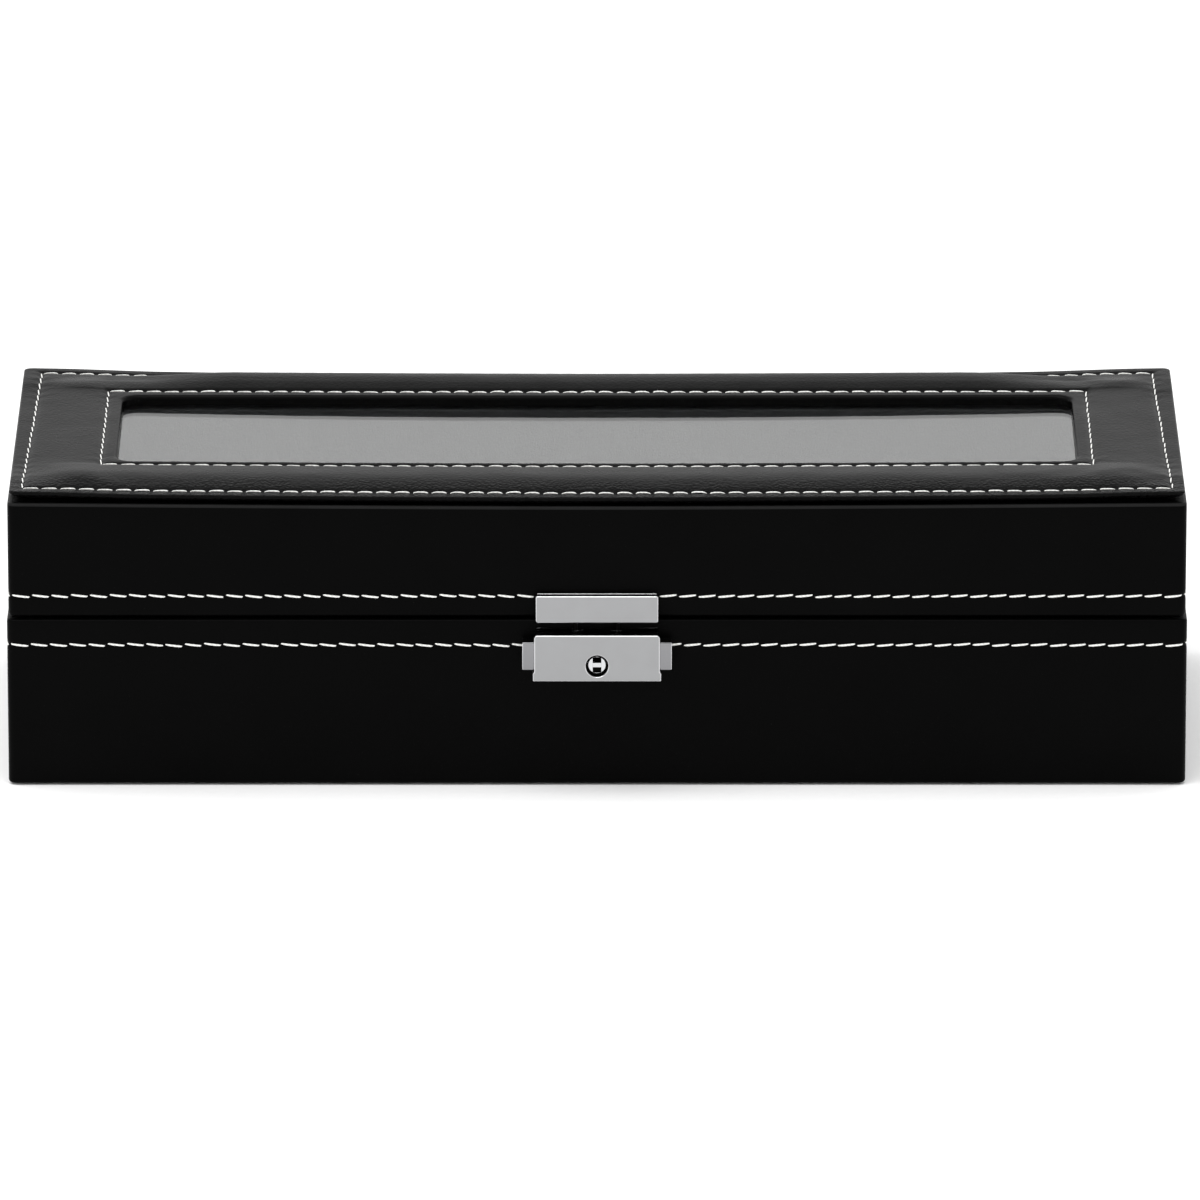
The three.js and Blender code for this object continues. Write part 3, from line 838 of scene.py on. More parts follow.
@dataclass
class Finishes:
    """The finished materials of the watch box, made once."""

    wall: bpy.types.Material = field(init=False)
    cover: bpy.types.Material = field(init=False)
    turned: bpy.types.Material = field(init=False)
    velvet: bpy.types.Material = field(init=False)
    cushion: bpy.types.Material = field(init=False)
    lining: bpy.types.Material = field(init=False)
    board: bpy.types.Material = field(init=False)
    stained: bpy.types.Material = field(init=False)
    felt: bpy.types.Material = field(init=False)
    glass: bpy.types.Material = field(init=False)
    chrome: bpy.types.Material = field(init=False)
    button: bpy.types.Material = field(init=False)
    cylinder: bpy.types.Material = field(init=False)
    edge: bpy.types.Material = field(init=False)
    shadow: bpy.types.Material = field(init=False)
    nickel: bpy.types.Material = field(init=False)
    screw: bpy.types.Material = field(init=False)
    steel: bpy.types.Material = field(init=False)
    thread: bpy.types.Material = field(init=False)
    floor: bpy.types.Material = field(init=False)

    def __post_init__(self) -> None:
        """Makes every material."""
        self.wall = Leatherette("Wall leatherette", "#020202", "#050505", crease=0.04, ior=1.1).make()
        self.cover = Leatherette(
            "Cover leatherette", grain=0.85, relief=0.045, crease=0.05, roughness=0.27, opened=5.5
        ).make()
        # Painted highlight: a paler leatherette on the lid walls' top outer bevel, which draws the bright
        # line along it.
        self.turned = Leatherette("Rubbed leatherette edge", "#171717", "#232323", ior=1.12).make()
        self.velvet = Velvet("Flocked velvet").make()
        self.cushion = Velvet("Cushion velvet", "#0e0e0f", "#1b1b1d", 0.45, 0.22).make()
        self.lining = Velvet("Lid lining flock", "#58585b", "#6a6a6d", 0.4, 0.12).make()
        self.board = Fibreboard("Fibreboard").make()
        # Painted shade: a near-black fibreboard for the lid's top board, which shows in the groove under the
        # cover's edge.
        self.stained = Fibreboard("Black-stained fibreboard", "#0e0d0c", "#070606").make()
        self.felt = Felt("Needled felt").make()
        self.glass = FloatGlass("Float glass").make()
        self.chrome = PlatedMetal("Chrome plate", "#999a9b", "#939394").make()
        self.button = PlatedMetal("Button chrome plate", "#88888a", "#828284", 0.14).make()
        self.cylinder = PlatedMetal("Cylinder chrome plate", "#cfd0d2", "#c2c3c5", 0.16).make()
        # Painted highlight: a paler chrome on the metal parts' bevels and rims, which draws their bright
        # edge lines.
        self.edge = PlatedMetal("Rubbed chrome edge", "#dfdfe1", "#d0d0d2", 0.2).make()
        # Painted shade: a near-black metal laid on the keyhole's wall, the keyway, the case's slots and the
        # hasp's prongs.
        self.shadow = PlatedMetal("Oiled brass in shadow", "#141312", "#0a0a0a", 0.5).make()
        self.nickel = PlatedMetal("Nickel plate", "#b9b3a6", "#9a948a", 0.22, 0.5, 0.003).make()
        self.screw = PlatedMetal("Zinc-plated screw steel", "#aeb0b2", "#8d8f91", 0.3, 0.3, 0.004).make()
        self.steel = PlatedMetal("Bright steel", "#a2a4a6", "#828486", 0.32, 0.3, 0.004).make()
        self.thread = Thread("Polyester thread").make()
        self.floor = PaintedFloor("Matt floor paint").make()

    def for_slot(self, slot: str) -> bpy.types.Material:
        """Gives the material that a CAD node's slot is dressed with.

        Args:
            slot: The record's material slot.

        Returns:
            The finished material.
        """
        return {
            "leatherette": self.wall,
            "cover_leatherette": self.cover,
            "fibreboard": self.board,
            "lid_lining": self.lining,
            "velvet": self.velvet,
            "cushion_velvet": self.cushion,
            "felt": self.felt,
            "glass": self.glass,
            "chrome": self.chrome,
            "button_chrome": self.button,
            "cylinder_chrome": self.cylinder,
            "hinge_nickel": self.nickel,
            "screw_steel": self.screw,
            "lock_steel": self.steel,
        }[slot]


# ---- The lid's sag -------------------------------------------------------------------------


@dataclass(frozen=True)
class Sag:
    """How the long lid has sunk in the middle of its length."""

    half: float = 147.0
    power: float = 1.5

    def share(self, x: float) -> float:
        """Gives how much of the sag there is at x: 1 in the middle, 0 at the ends."""
        return max(0.0, 1 - (abs(x) / self.half) ** self.power)


# ---- Leather walls -------------------------------------------------------------------------


@dataclass
class WallSkin:
    """Leatherette glued round four walls and turned in over their edges, with a stitch row's groove."""

    name: str
    low: list[float]
    high: list[float]
    rim_low: float  # how far it is turned in, below
    rim_high: float  # and above
    row: float  # height of the stitch row
    sag: float = 0.0
    fall: float = 18.0  # how far below the top edge the sag ends
    radius: float = 2.0
    thickness: float = 0.8
    edge: float = 0.7
    groove: float = 0.22
    groove_lines: tuple[float, ...] = (-1.3, -0.7, 0.0, 0.7, 1.3)
    hinges: tuple[str, ...] = ()
    hinge_play: float = 0.15
    hinge_depth: float = 0.5

    def build(self) -> Bench:
        """Models the skin.

        Returns:
            The bench with the skin on it.
        """
        bench = Bench.block(self.name, self.low, self.high)
        for _ in range(2):
            bench.obj.data.materials.append(None)
        bench.edit()
        for way, rim in ((1, self.rim_high), (-1, self.rim_low)):
            bench.pick(Pick.FACES, lambda f, w=way: f.normal.z * w > 0.9)
            bpy.ops.mesh.inset(thickness=rim * MM)
            bpy.ops.mesh.delete(type="FACE")
        bench.pick(Pick.EDGES, lambda e: abs(e.verts[0].co.z - e.verts[1].co.z) > MM)
        bpy.ops.mesh.bevel(offset=self.radius * MM, segments=6, affect="EDGES")
        # The outer bevels take material 1, which the lid dresses with the paler edge leatherette: a painted
        # highlight.
        bench.pick(Pick.EDGES, self.is_outer_edge)
        bpy.ops.mesh.bevel(offset=self.edge * MM, segments=4, affect="EDGES", material=1)
        bench.slice_at(2, [self.row + d for d in self.groove_lines])
        if self.sag:
            bench.slice_at(2, [self.high[2] - 8, self.high[2] - self.fall])
            bench.slice_at(0, BEND_LINES)
        for leaf in self.hinges:
            low, high = box_mm(leaf)
            left, right = low[0] - self.hinge_play, high[0] + self.hinge_play
            front = low[1] - self.hinge_play
            bench.slice_at(0, [left - HAIR, left, right, right + HAIR])
            bench.slice_at(1, [front - HAIR, front])
        bench.done()
        bench.reshape(self.shaped)
        # Only the top bevels keep material 1, the painted highlight; the bottom ones go back to the wall's
        # material.
        middle = (self.low[2] + self.high[2]) / 2 * MM
        for face in bench.obj.data.polygons:
            if face.center.z < middle:
                face.material_index = 0
        bench.modify("SOLIDIFY", thickness=self.thickness * MM, offset=-1)
        bench.smooth(30)
        return bench

    def is_outer_edge(self, edge: bmesh.types.BMEdge) -> bool:
        """Says whether an edge runs round the top or bottom of the outside."""
        ends = [v.co / MM for v in edge.verts]
        level = abs(ends[0].z - ends[1].z) < 0.01
        outer = len(edge.link_faces) == 2 and any(abs(f.normal.z) < 0.5 for f in edge.link_faces)
        return level and outer and any(abs(f.normal.z) > 0.5 for f in edge.link_faces)

    def shaped(self, x: float, y: float, z: float) -> tuple[float, float, float]:
        """Presses in the stitch groove and lets the top edge sag.

        Args:
            x: A point's x.
            y: Its y.
            z: Its z.

        Returns:
            Its new place.
        """
        depth = self.groove * math.exp(-(((z - self.row) / 0.65) ** 2))
        x -= math.copysign(depth if abs(x) > self.high[0] - 1.5 else 0, x)
        y -= math.copysign(depth if abs(y) > self.high[1] - 1.5 else 0, y)
        near_top = smoothstep((z - self.high[2] + self.fall) / self.fall)
        z -= self.sag * near_top * Sag().share(x)
        return x, y, z + self.hinge_room(x, y, z)

    def hinge_room(self, x: float, y: float, z: float) -> float:
        """Gives how far the rim is pressed in at a point, to make room for a hinge leaf."""
        reach = self.hinge_play + HAIR / 2
        for leaf in self.hinges:
            low, high = box_mm(leaf)
            if low[0] - reach < x < high[0] + reach and y > low[1] - reach:
                above = self.low[2] < low[2] - self.radius
                rim = self.high[2] if above else self.low[2]
                if abs(z - rim) < self.edge + 0.1:
                    return -self.hinge_depth if above else self.hinge_depth
        return 0.0


# ---- Padded lid cover ----------------------------------------------------------------------


@dataclass
class PaddedCover:
    """The lid's padded frame: leatherette over thin foam, drawn down along two stitch rows."""

    half_x: float
    half_y: float
    top: float
    window: tuple[float, float, float]  # half width, front, back
    sag: Sag = field(default_factory=Sag)
    outer_row: tuple[float, float] = (145.4, 51.0)
    inner_row: tuple[float, float, float] = (126.8, -30.3, 35.8)
    sink: float = 0.4
    curl: float = 0.45  # how far the corners lift
    window_radius: float = 4.8
    corner_radius: float = 1.6
    thickness: float = 0.45
    turn: float = 0.5  # how far inside the outline the roll begins
    swell_from: tuple[float, float] = (146.0, 20.0)  # where the padding starts to swell, and over how much
    late_from: tuple[float, float] = (128.0, 34.0)  # the same for the ridge at the back
    curl_from: tuple[float, float] = (112.0, 30.0)  # the same for the lifted corners
    outer_roll: tuple[tuple[float, float], ...] = (
        (0.28, -0.10),
        (0.15, -0.20),
        (0.03, -0.28),
        (-0.15, -0.32),
        (-0.55, -0.46),
        (-1.0, -0.5),
    )  # how far each fold of the outside goes outwards and up
    window_roll: tuple[tuple[float, float], ...] = (
        (0.31, -0.05),
        (0.28, -0.14),
        (0.22, -0.22),
        (0.14, -0.28),
        (0.05, -0.31),
        (0.0, -1.6),
    )

    def lines_x(self) -> list[float]:
        """Gives the grid lines across x, closer together at the rows and edges."""
        wx, r = self.window[0], self.window_radius
        marks = [(0, 0), (wx - 2 * r, 94), (wx - r, 3), (wx, 5), (self.inner_row[0], 8)]
        marks += [(self.inner_row[0] + 2, 4), (self.outer_row[0] - 2, 14), (self.outer_row[0], 4)]
        marks += [(self.half_x - 1.2, 6), (self.half_x - self.turn, 2)]
        right = self.fill(marks)
        return [-x for x in reversed(right[1:])] + right

    def lines_y(self) -> list[float]:
        """Gives the grid lines across y."""
        _, front, back = self.window
        r = self.window_radius
        marks = [(-self.half_y + self.turn, 0), (-self.half_y + 1.2, 2), (-self.outer_row[1], 6)]
        marks += [(-self.outer_row[1] + 2, 4), (self.inner_row[1] - 2, 20), (self.inner_row[1], 4)]
        marks += [(front, 4), (front + r, 5), (front + 2 * r, 3), (back - 2 * r, 12), (back - r, 3)]
        marks += [(back, 5), (self.inner_row[2], 9), (self.inner_row[2] + 2, 4)]
        marks += [(self.outer_row[1] - 2, 18), (self.outer_row[1], 6), (self.half_y - 1.2, 6)]
        marks += [(self.half_y - self.turn, 2)]
        return self.fill(marks)

    @staticmethod
    def fill(marks: list[tuple[float, int]]) -> list[float]:
        """Divides each stretch between marks into its number of equal steps."""
        places = [marks[0][0]]
        for (start, _), (end, steps) in zip(marks, marks[1:]):
            places += [start + (end - start) * (i + 1) / steps for i in range(steps)]
        return places

    def column(self, y: float) -> float:
        """Gives how far out the outer row's columns are at y: they splay towards the front."""
        return self.outer_row[0] - 0.016 * y

    def profile(self, y: float, sunk: float, swell: float, late: float) -> float:
        """Gives the height over the lid's end level along y.

        Args:
            y: Where.
            sunk: The share of the lid's sag here.
            swell: The share of the padding's swell here.
            late: The same for the ridge at the back, which rises further from the corners.

        Returns:
            The height, with no stitch groove in it.
        """
        _, front, back = self.inner_row
        keys = (
            (-self.half_y, -1.15 * sunk, 0.05),
            (-self.outer_row[1], -0.95 * sunk + 0.08 * swell, 0.05 + 0.17 * swell),
            (-48.5, -0.92 * sunk + 0.57 * swell, 0.20 * swell),
            (-45.5, -0.9 * sunk + 1.04 * swell, 0.13 * swell),
            (-42.0, -0.87 * sunk + 1.28 * swell, 0.03 * swell),
            (-38.0, -0.85 * sunk + 1.22 * swell, -0.05 * swell),
            (-33.0, -0.8 * sunk + 0.88 * swell, -0.08 * swell),
            (front, -0.8 * sunk + 0.58 * swell, -0.09 * swell),
            (back, -0.25 * sunk + 0.05 * swell, 0.23 * swell),
            (39.0, -0.35 * sunk + 0.3 * swell + 0.48 * late, 0.04 * swell + 0.16 * late),
            (42.0, -0.45 * sunk + 0.24 * swell + 1.1 * late, 0.11 * late - 0.03 * swell),
            (45.0, -0.55 * sunk + 1.63 * late, 0.0),
            (48.3, -0.75 * sunk + 1.62 * late, -0.15 * late),
            (self.outer_row[1], -1.15 * sunk - 0.1 * late, -0.5 * late),
            (self.half_y, -1.65 * sunk, -0.06 * sunk),
        )
        for (y0, z0, m0), (y1, z1, m1) in zip(keys, keys[1:]):
            if y <= y1:
                span = y1 - y0
                if y0 == front:
                    m0, m1 = 0.0, 0.0
                t = max(0.0, (y - y0) / span)
                a = (2 * t**3 - 3 * t**2 + 1) * z0 + (-2 * t**3 + 3 * t**2) * z1
                return a + span * ((t**3 - 2 * t**2 + t) * m0 + (t**3 - t**2) * m1)
        return keys[-1][1]

    def row_distance(self, x: float, y: float) -> tuple[float, float]:
        """Gives how far a point is from the nearest stitch row, and its place along that row."""
        ox, oy = self.column(y), self.outer_row[1]
        ix, front, back = self.inner_row
        outer = max(abs(x) - ox, abs(y) - oy)
        middle, half = (front + back) / 2, (back - front) / 2
        inner = max(abs(x) - ix, abs(y - middle) - half)
        if abs(outer) < abs(inner):
            along = y if abs(x) - ox > abs(y) - oy else x
            return abs(outer), along
        along = y if abs(x) - ix > abs(y - middle) - half else x
        return abs(inner), along

    def height(self, x: float, y: float) -> float:
        """Gives the height of the cover's top, in mm.

        Args:
            x: Where along the lid.
            y: Where across it.

        Returns:
            The z of the leather there.
        """
        sunk = self.sag.share(x)
        swell = smoothstep((self.swell_from[0] - abs(x)) / self.swell_from[1])
        late = smoothstep((self.late_from[0] - abs(x)) / self.late_from[1])
        z = self.top + self.profile(y, sunk, swell, late)
        lifted = smoothstep((abs(x) - self.curl_from[0]) / self.curl_from[1])
        z += self.curl * lifted * smoothstep((abs(y) - 26) / 20)
        side = (abs(x) - self.inner_row[0]) / (self.outer_row[0] - self.inner_row[0])
        if 0 < side < 1 and abs(y) < self.outer_row[1]:
            fade = smoothstep((self.outer_row[1] - abs(y)) / 10)
            z += 0.45 * fade * math.sin(math.pi * side) ** 0.8
        away, along = self.row_distance(x, y)
        z -= self.sink * math.exp(-((away / 0.85) ** 2))
        pucker = 0.5 + 0.5 * math.cos(2 * math.pi * along / 4.8)
        z -= 0.10 * pucker * math.exp(-((away / 2.2) ** 2))
        corner = smoothstep((abs(x) - 108) / 22) * smoothstep((abs(y) - 30) / 14)
        place = Vector((x * 0.11, y * 0.16, 3.7))
        inside = smoothstep((self.outer_row[1] - abs(y)) / 6)
        z += noise.noise(place) * (0.06 + 0.20 * corner) * inside
        return z

    def rounded(self, x: float, y: float) -> tuple[float, float]:
        """Rounds the outline's and the window's corners by moving a point in plan."""
        r = self.corner_radius
        straight_x, straight_y = self.half_x - self.turn - r, self.half_y - self.turn - r
        u, v = abs(x) - straight_x, abs(y) - straight_y
        if u > 0 and v > 0:
            k = max(u, v) / math.hypot(u, v)
            x = math.copysign(straight_x + u * k, x)
            y = math.copysign(straight_y + v * k, y)
        wx, front, back = self.window
        r = self.window_radius
        middle, half = (front + back) / 2, (back - front) / 2
        u, v = abs(x) - (wx - r), abs(y - middle) - (half - r)
        reach = max(u, v)
        if u > 0 and v > 0 and reach < 2.2 * r:
            k = reach / math.hypot(u, v)
            blend = smoothstep((reach - r) / (1.2 * r))
            k += (1 - k) * blend
            x = math.copysign(wx - r + u * k, x)
            y = middle + math.copysign(half - r + v * k, y - middle)
        return x, y

    def build(self) -> Bench:
        """Models the cover from a grid: window cut out, swell and rows shaped, edges turned down.

        Returns:
            The bench with the cover on it.
        """
        xs, ys = self.lines_x(), self.lines_y()
        deselect()
        across, deep = len(xs) - 1, len(ys) - 1
        bpy.ops.mesh.primitive_grid_add(x_subdivisions=across, y_subdivisions=deep, size=2)
        bench = Bench.fresh("lid_cover")
        for point in bench.obj.data.vertices:
            i = round((point.co.x + 1) / 2 * across)
            j = round((point.co.y + 1) / 2 * deep)
            point.co = (xs[i] * MM, ys[j] * MM, self.top * MM)
        wx, front, back = (v * MM for v in self.window)
        bench.edit()

        def in_window(face: bmesh.types.BMFace) -> bool:
            """Says whether a face lies in the window."""
            centre = face.calc_center_median()
            return abs(centre.x) < wx and front < centre.y < back

        bench.pick(Pick.FACES, in_window)
        bpy.ops.mesh.delete(type="FACE")
        bench.done()
        for point in bench.obj.data.vertices:
            x, y = self.rounded(point.co.x / MM, point.co.y / MM)
            point.co = (x * MM, y * MM, self.height(x, y) * MM)
        self.turn_down(bench, True, self.outer_roll)
        self.turn_down(bench, False, self.window_roll)
        bench.modify("SOLIDIFY", thickness=self.thickness * MM, offset=-1)
        bench.smooth(60)
        return bench

    def turn_down(self, bench: Bench, outer: bool, steps: Sequence[tuple[float, float]]) -> None:
        """Rolls one open edge down, over the frame's outside or into its window.

        Args:
            bench: The bench with the cover.
            outer: The outside edge if true, the window's if false.
            steps: How far each fold goes outwards and up.
        """
        wx, front, back = self.window
        half_x = self.half_x - self.turn if outer else wx
        half_y = self.half_y - self.turn if outer else (back - front) / 2
        centre = (0.0, 0.0 if outer else (front + back) / 2 * MM, 0.0)
        bench.edit()
        limit = (wx + 1) * MM
        tall = (self.inner_row[2] + 1) * MM

        def on_side(edge: bmesh.types.BMEdge) -> bool:
            """Says whether an edge is open and on the side that is rolled."""
            far_x = max(abs(v.co.x) for v in edge.verts)
            far_y = max(abs(v.co.y) for v in edge.verts)
            return edge.is_boundary and (far_x > limit or far_y > tall) == outer

        bench.pick(Pick.EDGES, on_side)
        for out, up in steps:
            out = out if outer else -out
            grow = ((half_x + out) / half_x, (half_y + out) / half_y, 1.0)
            bpy.ops.mesh.extrude_edges_move(TRANSFORM_OT_translate={"value": (0, 0, up * MM)})
            bpy.ops.transform.resize(value=grow, center_override=centre)
            half_x, half_y = half_x + out, half_y + out
        bench.done()


# ---- Stitches ------------------------------------------------------------------------------


class Slant(Enum):
    """Which way the stitches of a run lean."""

    FORWARD = 1
    BACK = -1


@dataclass
class Stitching:
    """Saddle stitches in thick thread: each one a low arch that dips into its holes and leans a little."""

    pitch: float = 4.95
    length: float = 4.5
    radius: float = 0.27
    lean: float = 0.5
    rise: float = 0.6  # how high the arch stands, as a share of a full one
    sink: float = 0.16  # how deep it is drawn into a wall
    lift: float = 0.14  # how high it lies on the cover
    stray: tuple[float, float] = (0.07, 0.05)  # how far hand-guided stitches wander
    rings: tuple[tuple[float, float, float], ...] = (
        (0.09, 0.30, 1.50),
        (0.21, 0.15, 1.22),
        (0.40, 0.0, 1.0),
        (0.21, -0.15, 0.82),
        (0.09, -0.30, 0.66),
    )  # each ring's share of the length, its rise and how much wider it is

    def stitch(self, slant: Slant) -> Bench:
        """Models one stitch along x at the origin, from a circle extruded ring by ring.

        Args:
            slant: Which way it leans.

        Returns:
            The bench with the stitch on it.
        """
        deselect()
        start = -self.length / 2
        bpy.ops.mesh.primitive_circle_add(
            vertices=6,
            radius=self.radius * 0.55 * MM,
            fill_type="NGON",
            location=(start * MM, 0, -0.30 * self.rise * MM),
            rotation=(0, math.radians(90), 0),
        )
        bench = Bench.fresh("stitch")
        bench.edit()
        bpy.ops.mesh.select_all(action="SELECT")
        at = start
        for share, up, size in self.rings:
            step = share * self.length
            at += step
            bpy.ops.mesh.extrude_region_move(
                TRANSFORM_OT_translate={"value": (step * MM, 0, up * self.rise * MM)}
            )
            bpy.ops.transform.resize(value=(1, size, size))
            bpy.ops.transform.rotate(
                value=math.radians(22),
                orient_axis="X",
                center_override=(at * MM, 0, 0),
            )
        bench.done()
        bench.face_out()
        bench.reshape(lambda x, y, z: (x, y + slant.value * self.lean * x / self.length, z))
        bench.smooth(60)
        return bench

    def run(self, start: float, end: float, slant: Slant) -> Bench:
        """Lays a straight run of stitches along x, between two places.

        Args:
            start: Where the first hole is.
            end: Where the last hole is.
            slant: Which way they lean.

        Returns:
            The bench with the run on it.
        """
        count = max(1, round((end - start) / self.pitch))
        step = (end - start) / count
        bench = self.stitch(slant)
        bench.reshape(lambda x, y, z: (x + start + step / 2, y, z))
        bench.modify(
            "ARRAY",
            count=count,
            use_relative_offset=False,
            use_constant_offset=True,
            constant_offset_displace=(step * MM, 0, 0),
        )
        chance = random.Random(round(start * 7 + end * 13))
        side, up = self.stray
        wobble = [(chance.gauss(0, side), chance.gauss(0, up)) for _ in range(count + 1)]

        def settle(x: float, y: float, z: float) -> tuple[float, float, float]:
            """Moves each stitch a hair aside, as hand-guided sewing does."""
            i = min(count, max(0, int((x - start) / step)))
            return x, y + wobble[i][0], z + wobble[i][1] * 0.4

        bench.reshape(settle)
        return bench

    def wall_ring(self, name: str, half_x: float, half_y: float, z: float, gap: float) -> Bench:
        """Sews a row round four walls, left open at the middle of the front.

        Args:
            name: The row's name.
            half_x: The walls' half length, outside.
            half_y: Their half depth, outside.
            z: The row's height.
            gap: Half the width that the lock's parts cover.

        Returns:
            The bench with the joined row on it.
        """
        sink = self.sink
        end_x, end_y = half_x - 0.9, half_y - 0.9
        runs = []
        for way in (-1, 1):
            slant = Slant.FORWARD if way < 0 else Slant.BACK
            near, far = sorted((way * gap, way * end_x))
            front = self.run(near, far, slant)
            front.reshape(lambda x, y, up: (x, -half_y + sink - up, z - y))
            back = self.run(*sorted((0.0, way * end_x)), slant)
            back.reshape(lambda x, y, up: (x, half_y - sink + up, z + y))
            side = self.run(-end_y, end_y, slant)
            side.reshape(lambda x, y, up, w=way: (w * (half_x - sink + up), x, z + y))
            runs += [front, back, side]
        runs[0].join_in(runs[1:])
        runs[0].obj.name = name
        runs[0].face_out()
        return runs[0]

    def cover_ring(
        self, name: str, cover: PaddedCover, half_x: float, front: float, back: float
    ) -> Bench:
        """Sews a rectangle of stitches through the padded cover, following its top.

        Args:
            name: The row's name.
            cover: The cover it is sewn through.
            half_x: The rectangle's half length.
            front: Its front line's y.
            back: Its back line's y.

        Returns:
            The bench with the joined row on it.
        """
        runs = []
        for way in (-1, 1):
            slant = Slant.FORWARD if way < 0 else Slant.BACK
            for line in (front, back):
                piece = self.run(*sorted((0.0, way * half_x)), slant)
                piece.reshape(lambda x, y, up, at=line: (x, y + at, up))
                runs.append(piece)
            side = self.run(front, back, slant)
            side.reshape(lambda x, y, up, w=way: (w * half_x - y, x, up))
            runs.append(side)
        runs[0].join_in(runs[1:])
        runs[0].obj.name = name
        splay = half_x > cover.inner_row[0] + 5

        def settled(x: float, y: float, up: float) -> tuple[float, float, float]:
            """Lays a point of the row on the cover, splayed with its columns."""
            x *= cover.column(y) / half_x if splay else 1
            return x, y, up + cover.height(x, y) + self.lift

        runs[0].reshape(settled)
        runs[0].face_out()
        return runs[0]


# ---- The lid -------------------------------------------------------------------------------


@dataclass
class Lid:
    """The lid: leather walls, padded cover with its stitches, thin top board and bowed pane."""

    finishes: Finishes
    row: float = 50.5
    wall_sag: float = 0.9
    pane_seat: float = 5.5  # how far the pane reaches under the frame
    roll: float = 0.5  # how far the cover's turned edge stands into the window
    board_margin: float = 4.5  # how far the thin board stays inside the cover's outline
    pane_rise: tuple[float, float] = (0.95, 0.55)  # of its underside and its top, at the ends
    pane_bow: float = 0.85
    pane_chamfer: float = 0.25

    def build(self) -> None:
        """Builds and dresses every piece of the lid."""
        low, high = box_mm("lid_wrap")
        skin = WallSkin("lid_leather", low, high, 6.2, 5.8, self.row, self.wall_sag)
        skin.hinges = ("hinge_left_lid_leaf", "hinge_right_lid_leaf")
        # The paler edge leatherette on the top outer bevel is a painted highlight.
        edges = (self.finishes.turned,)
        skin.build().dress(self.finishes.wall, "lid", "leatherette", "lid_wrap", more=edges)
        cover = self.make_cover()
        self.sew(cover, high)
        self.make_board(cover)
        self.make_pane()

    def sew(self, cover: PaddedCover, high: list[float]) -> None:
        """Sews the wall's row and the cover's two rectangles.

        Args:
            cover: The padded cover.
            high: The highest corner of the walls' leatherette.
        """
        sewing = Stitching()
        ring = sewing.wall_ring("lid_wall_stitches", high[0], high[1], self.row, 15.7)
        ring.dress(self.finishes.thread, "lid", "leatherette")
        fine = Stitching(pitch=4.65, length=3.8, radius=0.18, lean=0.3, rise=0.5)
        x, y = cover.outer_row
        outer = fine.cover_ring("cover_outer_stitches", cover, x, -y, y)
        outer.dress(self.finishes.thread, "lid", "cover_leatherette")
        inner = fine.cover_ring("cover_inner_stitches", cover, *cover.inner_row)
        inner.dress(self.finishes.thread, "lid", "cover_leatherette")

    def make_cover(self) -> PaddedCover:
        """Builds the padded cover over the window frame."""
        _, high = box_mm("lid_top_cover")
        (_, pane_front, _), (pane_x, pane_back, _) = box_mm("window_glass")
        seat = self.pane_seat - self.roll
        window = (pane_x - seat, pane_front + seat, pane_back - seat)
        cover = PaddedCover(*high, window)
        bench = cover.build()
        piece = bench.dress(self.finishes.cover, "lid", "cover_leatherette", "lid_top_cover")
        return cover

    def make_board(self, cover: PaddedCover) -> None:
        """Lets a copy of the thin top board sag with the cover over it; its near-black material is painted
        shade, for where it shows in the groove under the cover's edge.
        """
        bench = Bench.copy_of("lid_bent_board", frame["nodes"]["lid_top_board"])
        bench.edit()
        bench.slice_at(0, BEND_LINES)
        bench.done()
        far_x, far_y = cover.half_x - self.board_margin, cover.half_y - self.board_margin

        def bent(x: float, y: float, z: float) -> tuple[float, float, float]:
            """Draws the board's rim in under the rolled edge and lets it sag, less by the window."""
            x, y = max(-far_x, min(far_x, x)), max(-far_y, min(far_y, y))
            sag = 0.7 if abs(y) < 40 else 1.3
            return x, y, z - cover.sag.share(x) * sag - 0.05

        bench.reshape(bent)
        bench.smooth(30)
        bench.dress(self.finishes.stained, "lid", "fibreboard", "lid_top_board")

    def make_pane(self) -> None:
        """Builds the pane, bowed down between its ends, with ground edges."""
        low, high = box_mm("window_glass")
        low[2] += self.pane_rise[0]
        high[2] += self.pane_rise[1]
        bench = Bench.block("bowed_pane", low, high)
        bench.edit()
        bench.pick(Pick.EDGES, lambda e: True)
        bpy.ops.mesh.bevel(offset=self.pane_chamfer * MM, segments=2, affect="EDGES")
        bench.slice_at(0, [x * 6 for x in range(-21, 22)])
        bench.done()
        end = 127

        def bowed(x: float, y: float, z: float) -> tuple[float, float, float]:
            """Lets the pane sink between its ends."""
            return x, y, z - self.pane_bow * max(0.0, 1 - (abs(x) / end) ** 2)

        bench.reshape(bowed)
        bench.smooth(10)
        bench.dress(self.finishes.glass, "lid", "glass", "window_glass")


# ---- The base ------------------------------------------------------------------------------


@dataclass
class Base:
    """The base: leather walls with their stitches. The velvet on its liners, floor and dividers is laid by
    SoftenedParts.
    """

    finishes: Finishes
    row: float = 37.6

    def build(self) -> None:
        """Builds and dresses every piece of the base."""
        low, high = box_mm("base_wrap")
        skin = WallSkin("base_leather", low, high, 2.9, 7.4, self.row)
        skin.hinges = ("hinge_left_base_leaf", "hinge_right_base_leaf")
        skin.build().dress(self.finishes.wall, "base", "leatherette", "base_wrap")
        ring = Stitching().wall_ring("base_wall_stitches", high[0], high[1], self.row, 17.0)
        ring.dress(self.finishes.thread, "base", "leatherette")


# ---- Cushions ------------------------------------------------------------------------------


